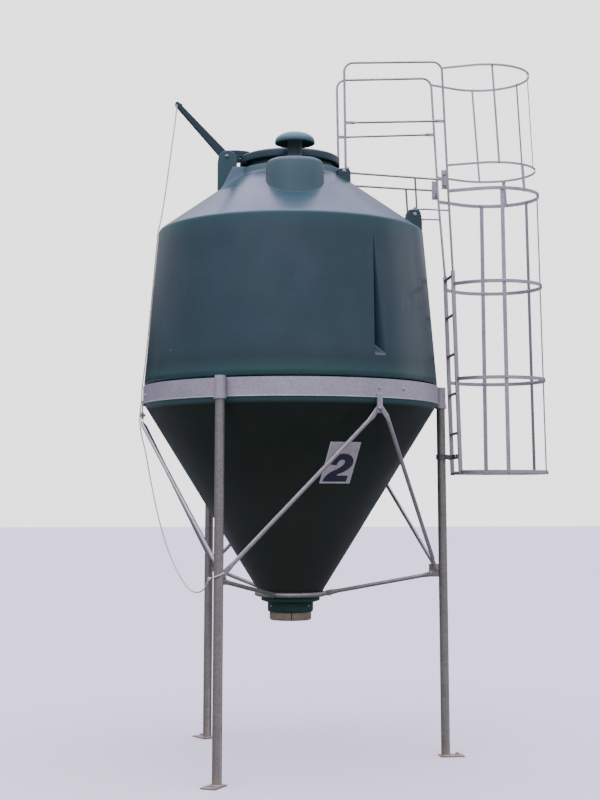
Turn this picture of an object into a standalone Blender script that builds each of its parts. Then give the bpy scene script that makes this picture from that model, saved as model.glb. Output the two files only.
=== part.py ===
# Polyethylene silo on a three-legged steel stand, with ladder, cage, handrails and a roped lid.
# Metres, +Z up. The floor is z = 0 and the origin is under the middle of the object's box.
# Azimuths are degrees from -Y towards +X, so the ladder is at 90 and the lid's hinge at -90.

import math

import bmesh
import bpy
from mathutils import Matrix, Vector

# Gap that touching solids keep
GAP = 0.0003
# Gap between round shapes of unlike facets
FACET_LIFT = 0.0009

# Tank body
SHOULDER_R = 0.9105
SHOULDER_Z = 3.490
WALL_FOOT_R = 0.9955
WALL_FOOT_Z = 2.302
SHELL = 0.010
ROOF_SLOPE = 0.72
ROOF_HOLE_R = 0.300
CONE_TOP_R = 0.985
CONE_SLOPE = 0.6305
CONE_FOOT_Z = 1.040
ROUND_STEPS = 72

# Plumb grooves in the wall, between the legs
GROOVE_AZIMUTHS = (30, 150, -90)
GROOVE_ROOT_R = 0.9165
GROOVE_HALF_ANGLE = 34
GROOVE_FOOT_Z = 2.585
GROOVE_FOOT_R = 0.9815

# Outlet under the hopper
FLANGE_R = 0.196
FLANGE_H = 0.030
COLLAR_R = 0.152
COLLAR_H = 0.065
SPOUT_R = 0.139
SPOUT_H = 0.052
BORE_R = 0.128

# Stand
RING_R = 1.000
RING_TOP = 2.430
RING_BOTTOM = 2.310
RING_THICK = 0.004
LEG_CIRCLE_R = 1.0335
LEG_R = 0.030
LEG_AZIMUTHS = {"a": -30, "b": 90, "c": -150}
PLATE_T = 0.008
FOOT_SIZE = (0.160, 0.100)
FOOT_INSET = 0.040
SOCKET_R = 0.0352
SOCKET_TOP = 2.440
SOCKET_BOTTOM = 2.297
LEG_TOP = SOCKET_TOP - 0.005
TAB_AZIMUTHS = {"ab": 28.7, "bc": 150, "ca": -90}
TAB_W = 0.040
TAB_T = 0.006
TAB_SEAT = 0.002
TAB_BOLT_Z = 2.240
TAB_Z = (2.215, 2.335)
BRACE_R = 0.0135
FLAT_T = 0.004
# Length of a brace's flat, and how far it runs on past the middle of its bolted strap
BRACE_FLAT = 0.080
BRACE_LAP = 0.030
# Lug on each leg: how far it and what is bolted to it lie from the leg's middle, towards the axis
LUG_REACH = 0.096
LUG_T = 0.005
LUG_Z = (1.166, 1.252)
KNEE_IN = 0.050
KNEE_Z = 1.230
KNEE_STRAP = (0.034, 0.036)
STRUT_IN = 0.0685
STRUT_Z = 1.188
HOOP_Z = 1.062
HOOP_TUBE_R = 0.0165

# Ladder
STILE_W = 0.025
STILE_Y = 0.140
STILE_FOOT = (1.137, 1.845)
STILE_HEAD = (1.1055, 3.235)
RUNG_R = 0.010
RUNG_FIRST_Z = 1.857
RUNG_PITCH = 0.2696
RUNG_COUNT = 6
CLAMP_Z = 1.967

# Cage: centre x, radius, height and bar height of each hoop, from the bottom up
HOOPS = (
    (1.418, 0.3470, 1.863, 0.025),
    (1.418, 0.3413, 2.490, 0.025),
    (1.418, 0.3356, 3.142, 0.025),
    (1.418, 0.3300, 3.783, 0.025),
    (1.405, 0.3220, 3.963, 0.016),
    (1.365, 0.3340, 4.651, 0.016),
)
BAR_T = 0.004
HOOP_STEP = 6.2
CAGE_BAR_ANGLES = [HOOP_STEP * flat for flat in (-14.5, -4.5, 4.5, 14.5)]
LINK_ANGLES = [HOOP_STEP * flat for flat in (-9.5, 9.5)]

# Handrails: the bent tube's corners on the near side, as x, distance from the middle, z
RAIL_R = 0.0085
RAIL_BEND_R = 0.065
RAIL_KNEE = (1.073, 0.183, 3.800)
RAIL_HEAD = (1.036, 0.206, 4.699)
RAIL_TURN = (0.350, 0.215, 4.668)
RAIL_FOOT = (0.360, 0.200, 3.9231)
MID_RAIL_R = 0.007
MID_RAIL_Z = (4.244, 4.277)
STRINGER_R = 0.0075
PLATE_X = 1.0275
PLATE_Z = (3.796, 3.931)
INNER_LUG_X = (0.302, 0.392)
INNER_LUG_Y = 0.200
INNER_LUG_TOP = 3.9225
SHOULDER_LUG_TOP = 3.648
SHOULDER_LUG_Y = 0.185
LUG_WIDTH = 0.056

# Roof furniture
COLLAR_STEP_R = 0.360
COLLAR_STEP_Z = 3.930
NECK_R = 0.310
NECK_TOP = 4.0137
LID_R = 0.348
LID_X = -0.008
LID_RIM_Z = 3.972
LID_INNER_Z = 4.014
LID_TOP_Z = 4.030
TURRET_R = 0.190
TURRET_X = -0.017
TURRET_Y = -0.490
TURRET_TOP = 3.904
CAP_R = 0.1325
CAP_RIM_Z = 4.018
DOME_RISE = 0.060
STEM_R = 0.0487

# Lid hinge and lever
PIVOT = (-0.450, 4.025)
PIN_R = 0.008
LEVER_ANGLE = 132.6
LEVER_LENGTH = 0.526
LEVER_HUB_W = 0.030
LEVER_TIP_W = 0.0165
LEVER_HALF_T = 0.024
ARM_LOW_Z = 3.996
CHEEK_CENTRE = (-0.4445, 4.0015)
CHEEK_R = 0.0655
CHEEK_OUT = 0.062
CHEEK_IN = 0.030
# Each is the low x, the high x, the half width and the height of a level rectangle
SHELF_TOP = (-0.412, -0.300, 0.120, 3.942)
SHELF_FOOT = (-0.520, -0.300, 0.245, 3.700)

# Number plate on the hopper
PLATE_SIZE = (0.216, 0.303)
PLATE_AZIMUTH = 20.3
PLATE_TOP_Z = 2.038

# Rope
ROPE_R = 0.004

# Where the tank's axis stands, so that the origin is under the middle of the box
LEFT_REACH = RING_R + TAB_T + GAP + FLAT_T
RIGHT_REACH = HOOPS[0][0] + HOOPS[0][1] + BAR_T / 2
TANK_X = (LEFT_REACH - RIGHT_REACH) / 2

POLYETHYLENE = ((0.045, 0.085, 0.095), 0.38, 0.0)
DARK_POLYETHYLENE = ((0.020, 0.035, 0.034), 0.42, 0.0)
GALVANISED = ((0.46, 0.45, 0.48), 0.45, 0.85)
CAGE_STEEL = ((0.36, 0.35, 0.38), 0.50, 0.80)
SPOUT_STEEL = ((0.36, 0.31, 0.28), 0.50, 0.80)
WHITE_PLATE = ((0.80, 0.80, 0.80), 0.40, 0.0)
ROPE_FIBRE = ((0.62, 0.56, 0.48), 0.90, 0.0)


def clear_scene():
    for obj in list(bpy.data.objects):
        bpy.data.objects.remove(obj, do_unlink=True)


def new_collection(name):
    group = bpy.data.collections.new(name)
    bpy.context.scene.collection.children.link(group)
    return group


clear_scene()
MODEL = new_collection("polyethylene_silo")
CUTTERS = new_collection("cutters")


# Objects, materials and shading

def finish(obj, look, smooth_angle=35):
    """Gives a piece its own material and its smooth shading."""
    colour, roughness, metallic = look
    skin = bpy.data.materials.new(obj.name + "_skin")
    skin.use_nodes = True
    shader = skin.node_tree.nodes["Principled BSDF"]
    shader.inputs["Base Color"].default_value = (*colour, 1.0)
    shader.inputs["Roughness"].default_value = roughness
    shader.inputs["Metallic"].default_value = metallic
    obj.data.materials.clear()
    obj.data.materials.append(skin)
    if obj.type == "MESH":
        obj.data.shade_smooth()
        obj.data.set_sharp_from_angle(angle=math.radians(smooth_angle))
    return obj


def object_from(bm, name, group=MODEL):
    mesh = bpy.data.meshes.new(name)
    bm.to_mesh(mesh)
    bm.free()
    obj = bpy.data.objects.new(name, mesh)
    group.objects.link(obj)
    return obj


def as_cutter(obj):
    obj.hide_render = True
    obj.display_type = "WIRE"
    return obj


def cut(obj, cutter, operation="DIFFERENCE"):
    boolean = obj.modifiers.new(cutter.name, "BOOLEAN")
    boolean.operation = operation
    boolean.solver = "EXACT"
    boolean.object = cutter
    return boolean


def welded(name, objects, look, smooth_angle=35):
    """Fuses overlapping solids into the first of them."""
    body = objects[0]
    for other in objects[1:]:
        if other.name in MODEL.objects:
            MODEL.objects.unlink(other)
            CUTTERS.objects.link(other)
        cut(body, as_cutter(other), "UNION")
    body.name = name
    return finish(body, look, smooth_angle)


# Places

def polar(radius, azimuth, z=0.0):
    angle = math.radians(azimuth)
    return Vector((radius * math.sin(angle), -radius * math.cos(angle), z))


def outward(azimuth):
    return polar(1.0, azimuth)


def roof_z(radius):
    return SHOULDER_Z + GAP + ROOF_SLOPE * (SHOULDER_R - radius)


def cone_r(z):
    return CONE_TOP_R - CONE_SLOPE * (WALL_FOOT_Z - GAP - z)


def between(start, end, share):
    return start + (end - start) * share


def stile_x(z):
    share = (z - STILE_FOOT[1]) / (STILE_HEAD[1] - STILE_FOOT[1])
    return between(STILE_FOOT[0], STILE_HEAD[0], share)


def rail_corners(side):
    """Corners of one handrail's bent tube; side is -1 for near and 1 for far."""
    foot = (STILE_HEAD[0], STILE_Y, STILE_HEAD[1] + 0.0015)
    route = (foot, RAIL_KNEE, RAIL_HEAD, RAIL_TURN, RAIL_FOOT)
    return [Vector((x, side * y, z)) for x, y, z in route]


def rail_at(side, z):
    """Middle of the handrail's ladder-side tube at a height."""
    foot, knee, head = rail_corners(side)[:3]
    if z < knee.z:
        return between(foot, knee, (z - foot.z) / (knee.z - foot.z))
    return between(knee, head, (z - knee.z) / (head.z - knee.z))


# Basic shapes

def turned(name, profile, look, steps=ROUND_STEPS, group=MODEL, closed=True):
    """Turns a profile of (radius, z) points, which runs down its outer side."""
    bm = bmesh.new()
    points = [bm.verts.new((radius, 0.0, z)) for radius, z in profile]
    for start, end in zip(points, points[1:]):
        bm.edges.new((start, end))
    if closed:
        bm.edges.new((points[-1], points[0]))
    obj = object_from(bm, name, group)
    screw = obj.modifiers.new("turn", "SCREW")
    screw.steps = steps
    screw.render_steps = steps
    screw.use_merge_vertices = True
    screw.merge_threshold = 0.0001
    screw.use_smooth_shade = True
    if look:
        finish(obj, look)
    return obj


def cylinder(name, radius, depth, centre, sides=16, axis=(0, 0, 1), group=MODEL):
    bm = bmesh.new()
    bmesh.ops.create_cone(bm, cap_ends=True, segments=sides, radius1=radius, radius2=radius, depth=depth)
    obj = object_from(bm, name, group)
    obj.rotation_euler = Vector(axis).to_track_quat("Z", "Y").to_euler()
    obj.location = centre
    bpy.context.view_layer.update()
    return obj


def box(name, size, centre, turn=0.0, group=MODEL):
    """A box of a size along X, Y and Z, turned about Z by a number of degrees."""
    bm = bmesh.new()
    bmesh.ops.create_cube(bm, size=1.0)
    bmesh.ops.scale(bm, vec=size, verts=bm.verts)
    obj = object_from(bm, name, group)
    obj.rotation_euler = (0.0, 0.0, math.radians(turn))
    obj.location = centre
    bpy.context.view_layer.update()
    return obj


def radial_box(name, inner, outer, width, low, high, azimuth, group=MODEL):
    """A box that runs outward from the tank's axis along an azimuth."""
    size = (width, outer - inner, high - low)
    centre = polar((inner + outer) / 2, azimuth, (low + high) / 2)
    return box(name, size, centre, azimuth, group)


def rod(name, route, radius, resolution=2, group=MODEL):
    """A round rod or tube with flat closed ends along a route of points."""
    curve = bpy.data.curves.new(name, "CURVE")
    curve.dimensions = "3D"
    curve.bevel_depth = radius
    curve.bevel_resolution = resolution
    curve.use_fill_caps = True
    spline = curve.splines.new("POLY")
    spline.points.add(len(route) - 1)
    for point, place in zip(spline.points, route):
        point.co = (*place, 1.0)
    obj = bpy.data.objects.new(name, curve)
    group.objects.link(obj)
    bpy.context.view_layer.update()
    return obj


def as_mesh(obj):
    """Turns a curve object into a mesh object with welded caps."""
    depsgraph = bpy.context.evaluated_depsgraph_get()
    mesh = bpy.data.meshes.new_from_object(obj.evaluated_get(depsgraph))
    bm = bmesh.new()
    bm.from_mesh(mesh)
    bmesh.ops.remove_doubles(bm, verts=bm.verts, dist=0.00001)
    bm.to_mesh(mesh)
    bm.free()
    name = obj.name
    group = obj.users_collection[0]
    place = obj.matrix_world.copy()
    bpy.data.objects.remove(obj, do_unlink=True)
    solid = bpy.data.objects.new(name, mesh)
    solid.matrix_world = place
    group.objects.link(solid)
    bpy.context.view_layer.update()
    return solid


def flat_outline(name, outline, thickness, upright=True, centre=(0, 0, 0), group=MODEL):
    """A plate from its outline: in the XZ plane when upright, or else in XY."""
    curve = bpy.data.curves.new(name, "CURVE")
    curve.dimensions = "2D"
    curve.fill_mode = "BOTH"
    curve.extrude = thickness / 2
    spline = curve.splines.new("POLY")
    spline.points.add(len(outline) - 1)
    for point, (x, y) in zip(spline.points, outline):
        point.co = (x, y, 0.0, 1.0)
    spline.use_cyclic_u = True
    obj = bpy.data.objects.new(name, curve)
    if upright:
        obj.rotation_euler = (math.pi / 2, 0.0, 0.0)
    obj.location = centre
    group.objects.link(obj)
    bpy.context.view_layer.update()
    return as_mesh(obj)


def sloped_block(name, top, foot, group=MODEL):
    """A block between two level rectangles."""
    bm = bmesh.new()
    for low_x, high_x, half, z in (top, foot):
        for x, y in ((low_x, -half), (high_x, -half), (high_x, half), (low_x, half)):
            bm.verts.new((x, y, z))
    bmesh.ops.convex_hull(bm, input=bm.verts)
    return object_from(bm, name, group)


def arc(centre, radius, start, end, steps):
    """Points of an arc in the plane, from one angle to another in degrees."""
    points = []
    for step in range(steps + 1):
        angle = math.radians(between(start, end, step / steps))
        points.append((centre[0] + radius * math.cos(angle), centre[1] + radius * math.sin(angle)))
    return points


def filleted(corners, radius, steps=6):
    """A route with each sharp inner corner replaced by an arc."""
    route = [corners[0]]
    for before, corner, after in zip(corners, corners[1:], corners[2:]):
        back = (before - corner).normalized()
        ahead = (after - corner).normalized()
        half = back.angle(ahead) / 2
        if math.degrees(half) > 80:
            route.append(corner)
            continue
        reach = radius / math.tan(half)
        centre = corner + (back + ahead).normalized() * (radius / math.sin(half))
        start = (corner + back * reach - centre).normalized()
        end = (corner + ahead * reach - centre).normalized()
        for step in range(steps + 1):
            route.append(centre + start.slerp(end, step / steps) * radius)
    route.append(corners[-1])
    return route


def crushed_tube(name, start, end, radius, start_normal, end_normal, flat=0.060, sides=10):
    """A round tube whose two ends are pressed flat for a bolt, and bent to lie on their plates.

    The normals are those of the flat faces. It is a loft from flat to round and back.
    """
    whole = (end - start).normalized()
    leaving = (whole - start_normal * whole.dot(start_normal)).normalized()
    arriving = (whole - end_normal * whole.dot(end_normal)).normalized()
    first = start + leaving * flat
    last = end - arriving * flat
    middle = (last - first).normalized()
    swell = 0.040
    wide = radius * 1.35
    # The far end's corners are numbered on from those of the near end that they lie closest to
    near_across, far_across = middle.cross(start_normal), middle.cross(end_normal)
    twist = math.atan2(far_across.dot(near_across.cross(middle)), far_across.dot(near_across))
    shift = -round(twist / (2 * math.pi / sides))
    stations = (
        (start, leaving, 0.0, start_normal, 0),
        (first, leaving, 0.0, start_normal, 0),
        (first + middle * swell, middle, 1.0, start_normal, 0),
        (last - middle * swell, middle, 1.0, end_normal, shift),
        (last, arriving, 0.0, end_normal, shift),
        (end, arriving, 0.0, end_normal, shift),
    )
    bm = bmesh.new()
    rings = []
    for place, along, roundness, normal, corner in stations:
        across = along.cross(normal).normalized()
        face = across.cross(along).normalized()
        half_w = between(wide, radius, roundness)
        half_t = between(FLAT_T / 2, radius, roundness)
        ring = []
        for side in range(sides):
            angle = 2 * math.pi * (side + 0.5 + corner) / sides
            offset = across * (half_w * math.cos(angle)) + face * (half_t * math.sin(angle))
            ring.append(bm.verts.new(place + offset))
        rings.append(ring)
    for ring, other in zip(rings, rings[1:]):
        for side in range(sides):
            follow = (side + 1) % sides
            bm.faces.new((ring[side], ring[follow], other[follow], other[side]))
    bm.faces.new(list(reversed(rings[0])))
    bm.faces.new(rings[-1])
    bmesh.ops.recalc_face_normals(bm, faces=bm.faces)
    return object_from(bm, name)


# Tank

def groove_prisms(name, root_r, foot_z):
    """Plumb V-shaped prisms that dent the wall, one for each groove azimuth."""
    prisms = []
    reach = 0.12
    half = reach * math.tan(math.radians(GROOVE_HALF_ANGLE))
    for azimuth in GROOVE_AZIMUTHS:
        outline = ((0.0, -root_r), (half, -root_r - reach), (-half, -root_r - reach))
        height = SHOULDER_Z + 0.05 - foot_z
        prism = flat_outline(f"{name}_{azimuth}", outline, height, upright=False, group=CUTTERS)
        for vert in prism.data.vertices:
            if vert.co.z < 0:
                vert.co.z += GROOVE_FOOT_R + vert.co.y
        prism.rotation_euler = (0.0, 0.0, math.radians(azimuth))
        prism.location = (0.0, 0.0, foot_z + height / 2)
        prisms.append(as_cutter(prism))
    return prisms


def make_wall():
    head_r = SHOULDER_R - 0.002
    outside = (
        (0.0, SHOULDER_Z),
        (head_r, SHOULDER_Z),
        (SHOULDER_R, SHOULDER_Z - 0.004),
        (WALL_FOOT_R, RING_TOP),
        (WALL_FOOT_R, WALL_FOOT_Z),
        (0.0, WALL_FOOT_Z),
    )
    wall = turned("tank_wall", outside, None, closed=False)
    past = 0.05
    taper = (WALL_FOOT_R - SHOULDER_R) / (SHOULDER_Z - RING_TOP)
    inside = (
        (0.0, SHOULDER_Z + past),
        (SHOULDER_R - SHELL - taper * past, SHOULDER_Z + past),
        (WALL_FOOT_R - SHELL, RING_TOP),
        (WALL_FOOT_R - SHELL, WALL_FOOT_Z - past),
        (0.0, WALL_FOOT_Z - past),
    )
    core = turned("wall_core", inside, None, group=CUTTERS, closed=False)
    for prism in groove_prisms("groove_back", GROOVE_ROOT_R - SHELL, GROOVE_FOOT_Z - SHELL):
        cut(core, prism)
    for prism in groove_prisms("groove", GROOVE_ROOT_R, GROOVE_FOOT_Z):
        cut(wall, prism)
    cut(wall, as_cutter(core))
    return finish(wall, POLYETHYLENE)


def make_roof():
    drop = SHELL * math.hypot(1.0, ROOF_SLOPE)
    edge_z = SHOULDER_Z + GAP
    profile = (
        (ROOF_HOLE_R, roof_z(ROOF_HOLE_R)),
        (SHOULDER_R - 0.0065, roof_z(SHOULDER_R - 0.0065)),
        (SHOULDER_R - 0.0022, edge_z + 0.0014),
        (SHOULDER_R - 0.0022, edge_z),
        (SHOULDER_R - drop / ROOF_SLOPE, edge_z),
        (ROOF_HOLE_R, roof_z(ROOF_HOLE_R) - drop),
    )
    return turned("tank_roof", profile, POLYETHYLENE)


def make_hopper():
    top = WALL_FOOT_Z - GAP
    thick = SHELL * math.hypot(1.0, CONE_SLOPE)
    profile = (
        (cone_r(top), top),
        (cone_r(CONE_FOOT_Z), CONE_FOOT_Z),
        (cone_r(CONE_FOOT_Z) - thick, CONE_FOOT_Z),
        (cone_r(top) - thick, top),
    )
    return turned("tank_hopper", profile, DARK_POLYETHYLENE)


def make_outlet():
    flange_top = CONE_FOOT_Z - GAP
    flange_foot = flange_top - FLANGE_H
    flange = (
        (FLANGE_R, flange_top),
        (FLANGE_R, flange_foot + 0.010),
        (COLLAR_R + 0.012, flange_foot),
        (BORE_R, flange_foot),
        (BORE_R, flange_top),
    )
    turned("outlet_flange", flange, DARK_POLYETHYLENE, steps=32)
    collar_top = flange_foot - GAP
    collar_foot = collar_top - COLLAR_H
    collar = (
        (COLLAR_R, collar_top),
        (COLLAR_R, collar_foot + 0.010),
        (COLLAR_R - 0.008, collar_foot),
        (BORE_R, collar_foot),
        (BORE_R, collar_top),
    )
    turned("outlet_collar", collar, DARK_POLYETHYLENE, steps=32)
    spout_top = collar_foot - GAP
    spout = (
        (SPOUT_R, spout_top),
        (SPOUT_R, spout_top - SPOUT_H + 0.008),
        (SPOUT_R - 0.006, spout_top - SPOUT_H),
        (BORE_R, spout_top - SPOUT_H),
        (BORE_R, spout_top),
    )
    turned("outlet_ring", spout, SPOUT_STEEL, steps=32)


# Stand

def make_ring():
    """The band round the tank, with its bracing tabs and the sockets for the legs' heads."""
    profile = (
        (RING_R, RING_TOP),
        (RING_R, RING_BOTTOM),
        (RING_R - RING_THICK, RING_BOTTOM),
        (RING_R - RING_THICK, RING_TOP),
    )
    pieces = [turned("ring_band", profile, None)]
    for azimuth in TAB_AZIMUTHS.values():
        tab = radial_box("tab", RING_R - TAB_SEAT, RING_R + TAB_T, TAB_W, TAB_Z[0], TAB_Z[1], azimuth)
        pieces.append(tab)
    space_r = RING_R - RING_THICK / 2
    inside = ((0.0, 2.6), (space_r, 2.6), (space_r, 2.1), (0.0, 2.1))
    tank_space = as_cutter(turned("tank_space", inside, None, group=CUTTERS, closed=False))
    profile = (
        (0.0, SOCKET_TOP),
        (SOCKET_R, SOCKET_TOP),
        (SOCKET_R, SOCKET_BOTTOM + 0.025),
        (SOCKET_R + 0.005, SOCKET_BOTTOM + 0.025),
        (SOCKET_R + 0.005, SOCKET_BOTTOM),
        (LEG_R + 0.0005, SOCKET_BOTTOM),
        (LEG_R + 0.0005, LEG_TOP + GAP),
        (0.0, LEG_TOP + GAP),
    )
    for azimuth in LEG_AZIMUTHS.values():
        socket = turned("socket", profile, None, steps=24, closed=False)
        socket.location = polar(LEG_CIRCLE_R, azimuth)
        cut(socket, tank_space)
        pieces.append(socket)
    bpy.context.view_layer.update()
    welded("ring_band", pieces, GALVANISED)


def leg_lug(leg):
    """A flat plate welded to a leg, pointing at the tank's axis."""
    direction = Vector((-leg.x, -leg.y, 0.0)).normalized()
    start = LEG_R - 0.004
    middle = leg + direction * (start + LUG_REACH) / 2
    middle.z = sum(LUG_Z) / 2
    turn = math.degrees(math.atan2(direction.y, direction.x))
    return box("lug", (LUG_REACH - start, LUG_T, LUG_Z[1] - LUG_Z[0]), middle, turn)


def make_legs():
    """Each leg with its foot plate and the lug for its braces and strut."""
    for letter, azimuth in LEG_AZIMUTHS.items():
        place = polar(LEG_CIRCLE_R, azimuth)
        low = PLATE_T / 2
        pieces = [cylinder(f"leg_{letter}", LEG_R, LEG_TOP - low, place + Vector((0, 0, (LEG_TOP + low) / 2)))]
        inner = LEG_CIRCLE_R - FOOT_INSET
        outer = inner + FOOT_SIZE[0]
        pieces.append(radial_box("foot", inner, outer, FOOT_SIZE[1], 0.0, PLATE_T, azimuth))
        pieces.append(leg_lug(place))
        welded(f"leg_{letter}", pieces, GALVANISED)


def make_braces():
    """Diagonals from the ring's tabs to the legs' lugs; of each pair, one is bolted behind its tab."""
    behind = RING_R - TAB_SEAT - GAP - FLAT_T / 2
    before = RING_R + TAB_T + GAP + FLAT_T / 2
    for tab, azimuth in TAB_AZIMUTHS.items():
        for letter, radius in zip(tab, (behind, before)):
            leg_azimuth = LEG_AZIMUTHS[letter]
            high = polar(radius, azimuth, TAB_BOLT_Z + 0.015)
            aside = outward(leg_azimuth + 90)
            if aside.dot(high - polar(LEG_CIRCLE_R, leg_azimuth)) < 0:
                aside.negate()
            landing = polar(LEG_CIRCLE_R - KNEE_IN, leg_azimuth, KNEE_Z)
            landing += aside * (LUG_T / 2 + GAP + FLAT_T / 2)
            along = (high - landing).normalized()
            level = Vector((along.x, along.y, 0.0)).normalized()
            beside = Vector((level.y, -level.x, 0.0))
            low = landing - along * BRACE_LAP
            tube = crushed_tube("tube", high, low, BRACE_R, outward(azimuth), beside, flat=BRACE_FLAT)
            turn = math.degrees(math.atan2(aside.y, aside.x))
            beyond = box("beyond", (0.3, 0.3, 0.3), landing - aside * 0.15, turn, group=CUTTERS)
            cut(tube, as_cutter(beyond))
            strap = box("strap", (FLAT_T, *KNEE_STRAP), landing, turn)
            welded(f"brace_{tab}_to_{letter}", [tube, strap], GALVANISED)


def make_struts():
    """Struts from the legs to the round hoop that steadies the hopper's foot."""
    hoop_r = hoop_radius()
    for letter, azimuth in LEG_AZIMUTHS.items():
        tangent = outward(azimuth - 90)
        beside = tangent * (LUG_T / 2 + GAP + FLAT_T / 2)
        high = polar(LEG_CIRCLE_R - STRUT_IN, azimuth, STRUT_Z) + beside
        low = polar(hoop_r + HOOP_TUBE_R + 0.0006, azimuth, HOOP_Z + 0.002)
        strut = crushed_tube(f"strut_{letter}", high, low, BRACE_R, tangent, tangent, flat=0.035)
        finish(strut, GALVANISED)
    bpy.ops.mesh.primitive_torus_add(
        location=(0.0, 0.0, HOOP_Z),
        major_radius=hoop_r,
        minor_radius=HOOP_TUBE_R,
        major_segments=40,
        minor_segments=8,
    )
    hoop = bpy.context.active_object
    hoop.name = "hopper_hoop"
    for group in list(hoop.users_collection):
        group.objects.unlink(hoop)
    MODEL.objects.link(hoop)
    finish(hoop, GALVANISED, smooth_angle=60)


def hoop_radius():
    """Radius at which the round hoop touches the hopper."""
    return cone_r(HOOP_Z) + (HOOP_TUBE_R + 0.0010) * math.hypot(1.0, CONE_SLOPE)


# Ladder and cage

def make_ladder():
    """The lower ladder: two square stiles and the rungs between them."""
    lean = math.atan2(STILE_FOOT[0] - STILE_HEAD[0], STILE_HEAD[1] - STILE_FOOT[1])
    length = math.hypot(STILE_FOOT[0] - STILE_HEAD[0], STILE_HEAD[1] - STILE_FOOT[1])
    middle_x = (STILE_FOOT[0] + STILE_HEAD[0]) / 2
    middle_z = (STILE_FOOT[1] + STILE_HEAD[1]) / 2
    pieces = []
    for side in (-1, 1):
        stile = box("stile", (STILE_W, STILE_W, length), (middle_x, side * STILE_Y, middle_z))
        stile.rotation_euler = (0.0, -lean, 0.0)
        pieces.append(stile)
    for number in range(RUNG_COUNT):
        z = RUNG_FIRST_Z + number * RUNG_PITCH
        pieces.append(cylinder("rung", RUNG_R, 2 * STILE_Y, (stile_x(z), 0.0, z), 12, axis=(0, 1, 0)))
    bpy.context.view_layer.update()
    welded("ladder", pieces, GALVANISED)


def make_ladder_clamp():
    """Holds the ladder's foot to the leg at the ladder's side."""
    face = stile_x(CLAMP_Z + 0.02) - STILE_W / 2 - 0.0006
    half_h = 0.016
    bar = box("ladder_clamp", (0.010, 0.320, 2 * half_h), (face - 0.005, 0.0, CLAMP_Z))
    stub = box("stub", (face - 0.004 - LEG_CIRCLE_R, 0.036, 0.030), (0, 0, 0), group=CUTTERS)
    stub.location = ((face - 0.004 + LEG_CIRCLE_R) / 2, 0.0, CLAMP_Z)
    collar = cylinder("clamp_collar", LEG_R + 0.007, 0.034, (LEG_CIRCLE_R, 0, CLAMP_Z), 24, group=CUTTERS)
    bore = cylinder("clamp_bore", LEG_R + 0.0005, 0.1, (LEG_CIRCLE_R, 0, CLAMP_Z), 24, group=CUTTERS)
    cut(bar, as_cutter(stub), "UNION")
    cut(bar, as_cutter(collar), "UNION")
    cut(bar, as_cutter(bore))
    finish(bar, GALVANISED)


def hoop_route(centre_x, radius, end):
    """Half of a hoop's middle line in plan, from the +X side round to its end at a stile.

    Its flats lie at fixed angles, so that the upright bars sit flat against them.
    """
    reach = Vector((end[0] - centre_x, end[1]))
    last = HOOP_STEP * 23
    if reach.length > radius:
        heading = math.degrees(math.atan2(reach.y, reach.x))
        last = heading - math.degrees(math.acos(radius / reach.length))
    count = int(last / HOOP_STEP)
    route = arc((centre_x, 0.0), radius, 0.0, count * HOOP_STEP, count)
    route.append(tuple(end))
    return route


def offset_route(route, distance):
    """A line beside a route, at a distance to its left."""
    points = []
    for index, (x, y) in enumerate(route):
        before = Vector(route[max(index - 1, 0)])
        after = Vector(route[min(index + 1, len(route) - 1)])
        along = (after - before).normalized()
        points.append((x - along.y * distance, y + along.x * distance))
    return points


def on_hoop(hoop, angle, way, side, slack):
    """Middle of a strap that lies on a flat of a hoop, inside it (-1) or outside it (1)."""
    centre_x, radius, z, height = hoop
    turn = math.radians(angle)
    flat_r = radius * math.cos(math.radians(HOOP_STEP / 2)) + side * (BAR_T + GAP + slack)
    return Vector((centre_x + flat_r * math.cos(turn), flat_r * math.sin(turn), z + way * height / 2))


def strap(name, low, high, angle, width):
    """A straight flat bar between two places, whose flat face looks out at an angle."""
    heading = Vector((math.cos(math.radians(angle)), math.sin(math.radians(angle)), 0.0))
    along = (high - low).normalized()
    across = along.cross(heading).normalized()
    out = across.cross(along).normalized()
    bar = box(name, (BAR_T, width, (high - low).length), (0, 0, 0))
    frame = Matrix((out, across, along)).transposed().to_4x4()
    bar.matrix_world = Matrix.Translation((low + high) / 2) @ frame
    bpy.context.view_layer.update()
    return finish(bar, CAGE_STEEL)


def make_cage():
    for number, (centre_x, radius, z, height) in enumerate(HOOPS, start=1):
        if z < STILE_HEAD[1]:
            end = Vector((stile_x(z), STILE_Y + STILE_W / 2 + 0.0018))
        else:
            tube = rail_at(1, z)
            end = Vector((tube.x, tube.y)) + Vector((0.35, 0.94)) * (RAIL_R + 0.0028)
        half = hoop_route(centre_x, radius, end)
        route = [(x, -y) for x, y in reversed(half)] + half[1:]
        outline = offset_route(route, -BAR_T / 2) + list(reversed(offset_route(route, BAR_T / 2)))
        hoop = flat_outline(f"cage_hoop_{number}", outline, height, upright=False, centre=(0, 0, z))
        finish(hoop, CAGE_STEEL)
    for number, angle in enumerate(CAGE_BAR_ANGLES, start=1):
        low = on_hoop(HOOPS[0], angle, -1, -1, 0.0)
        high = on_hoop(HOOPS[3], angle, 1, -1, 0.0)
        strap(f"cage_bar_lower_{number}", low, high, angle, 0.028)
        low = on_hoop(HOOPS[4], angle, -1, -1, 0.0004)
        high = on_hoop(HOOPS[5], angle, 1, -1, 0.0004)
        strap(f"cage_bar_upper_{number}", low, high, angle, 0.014)
    for number, angle in enumerate(LINK_ANGLES, start=1):
        low = on_hoop(HOOPS[3], angle, -1, -1, 0.0005)
        high = on_hoop(HOOPS[4], angle, 1, 1, 0.0005)
        strap(f"cage_link_{number}", low, high, angle, 0.025)


# Handrails

def make_rails():
    for name, side in (("near", -1), ("far", 1)):
        make_handrail(name, side)
        make_stay(name, side)


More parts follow.
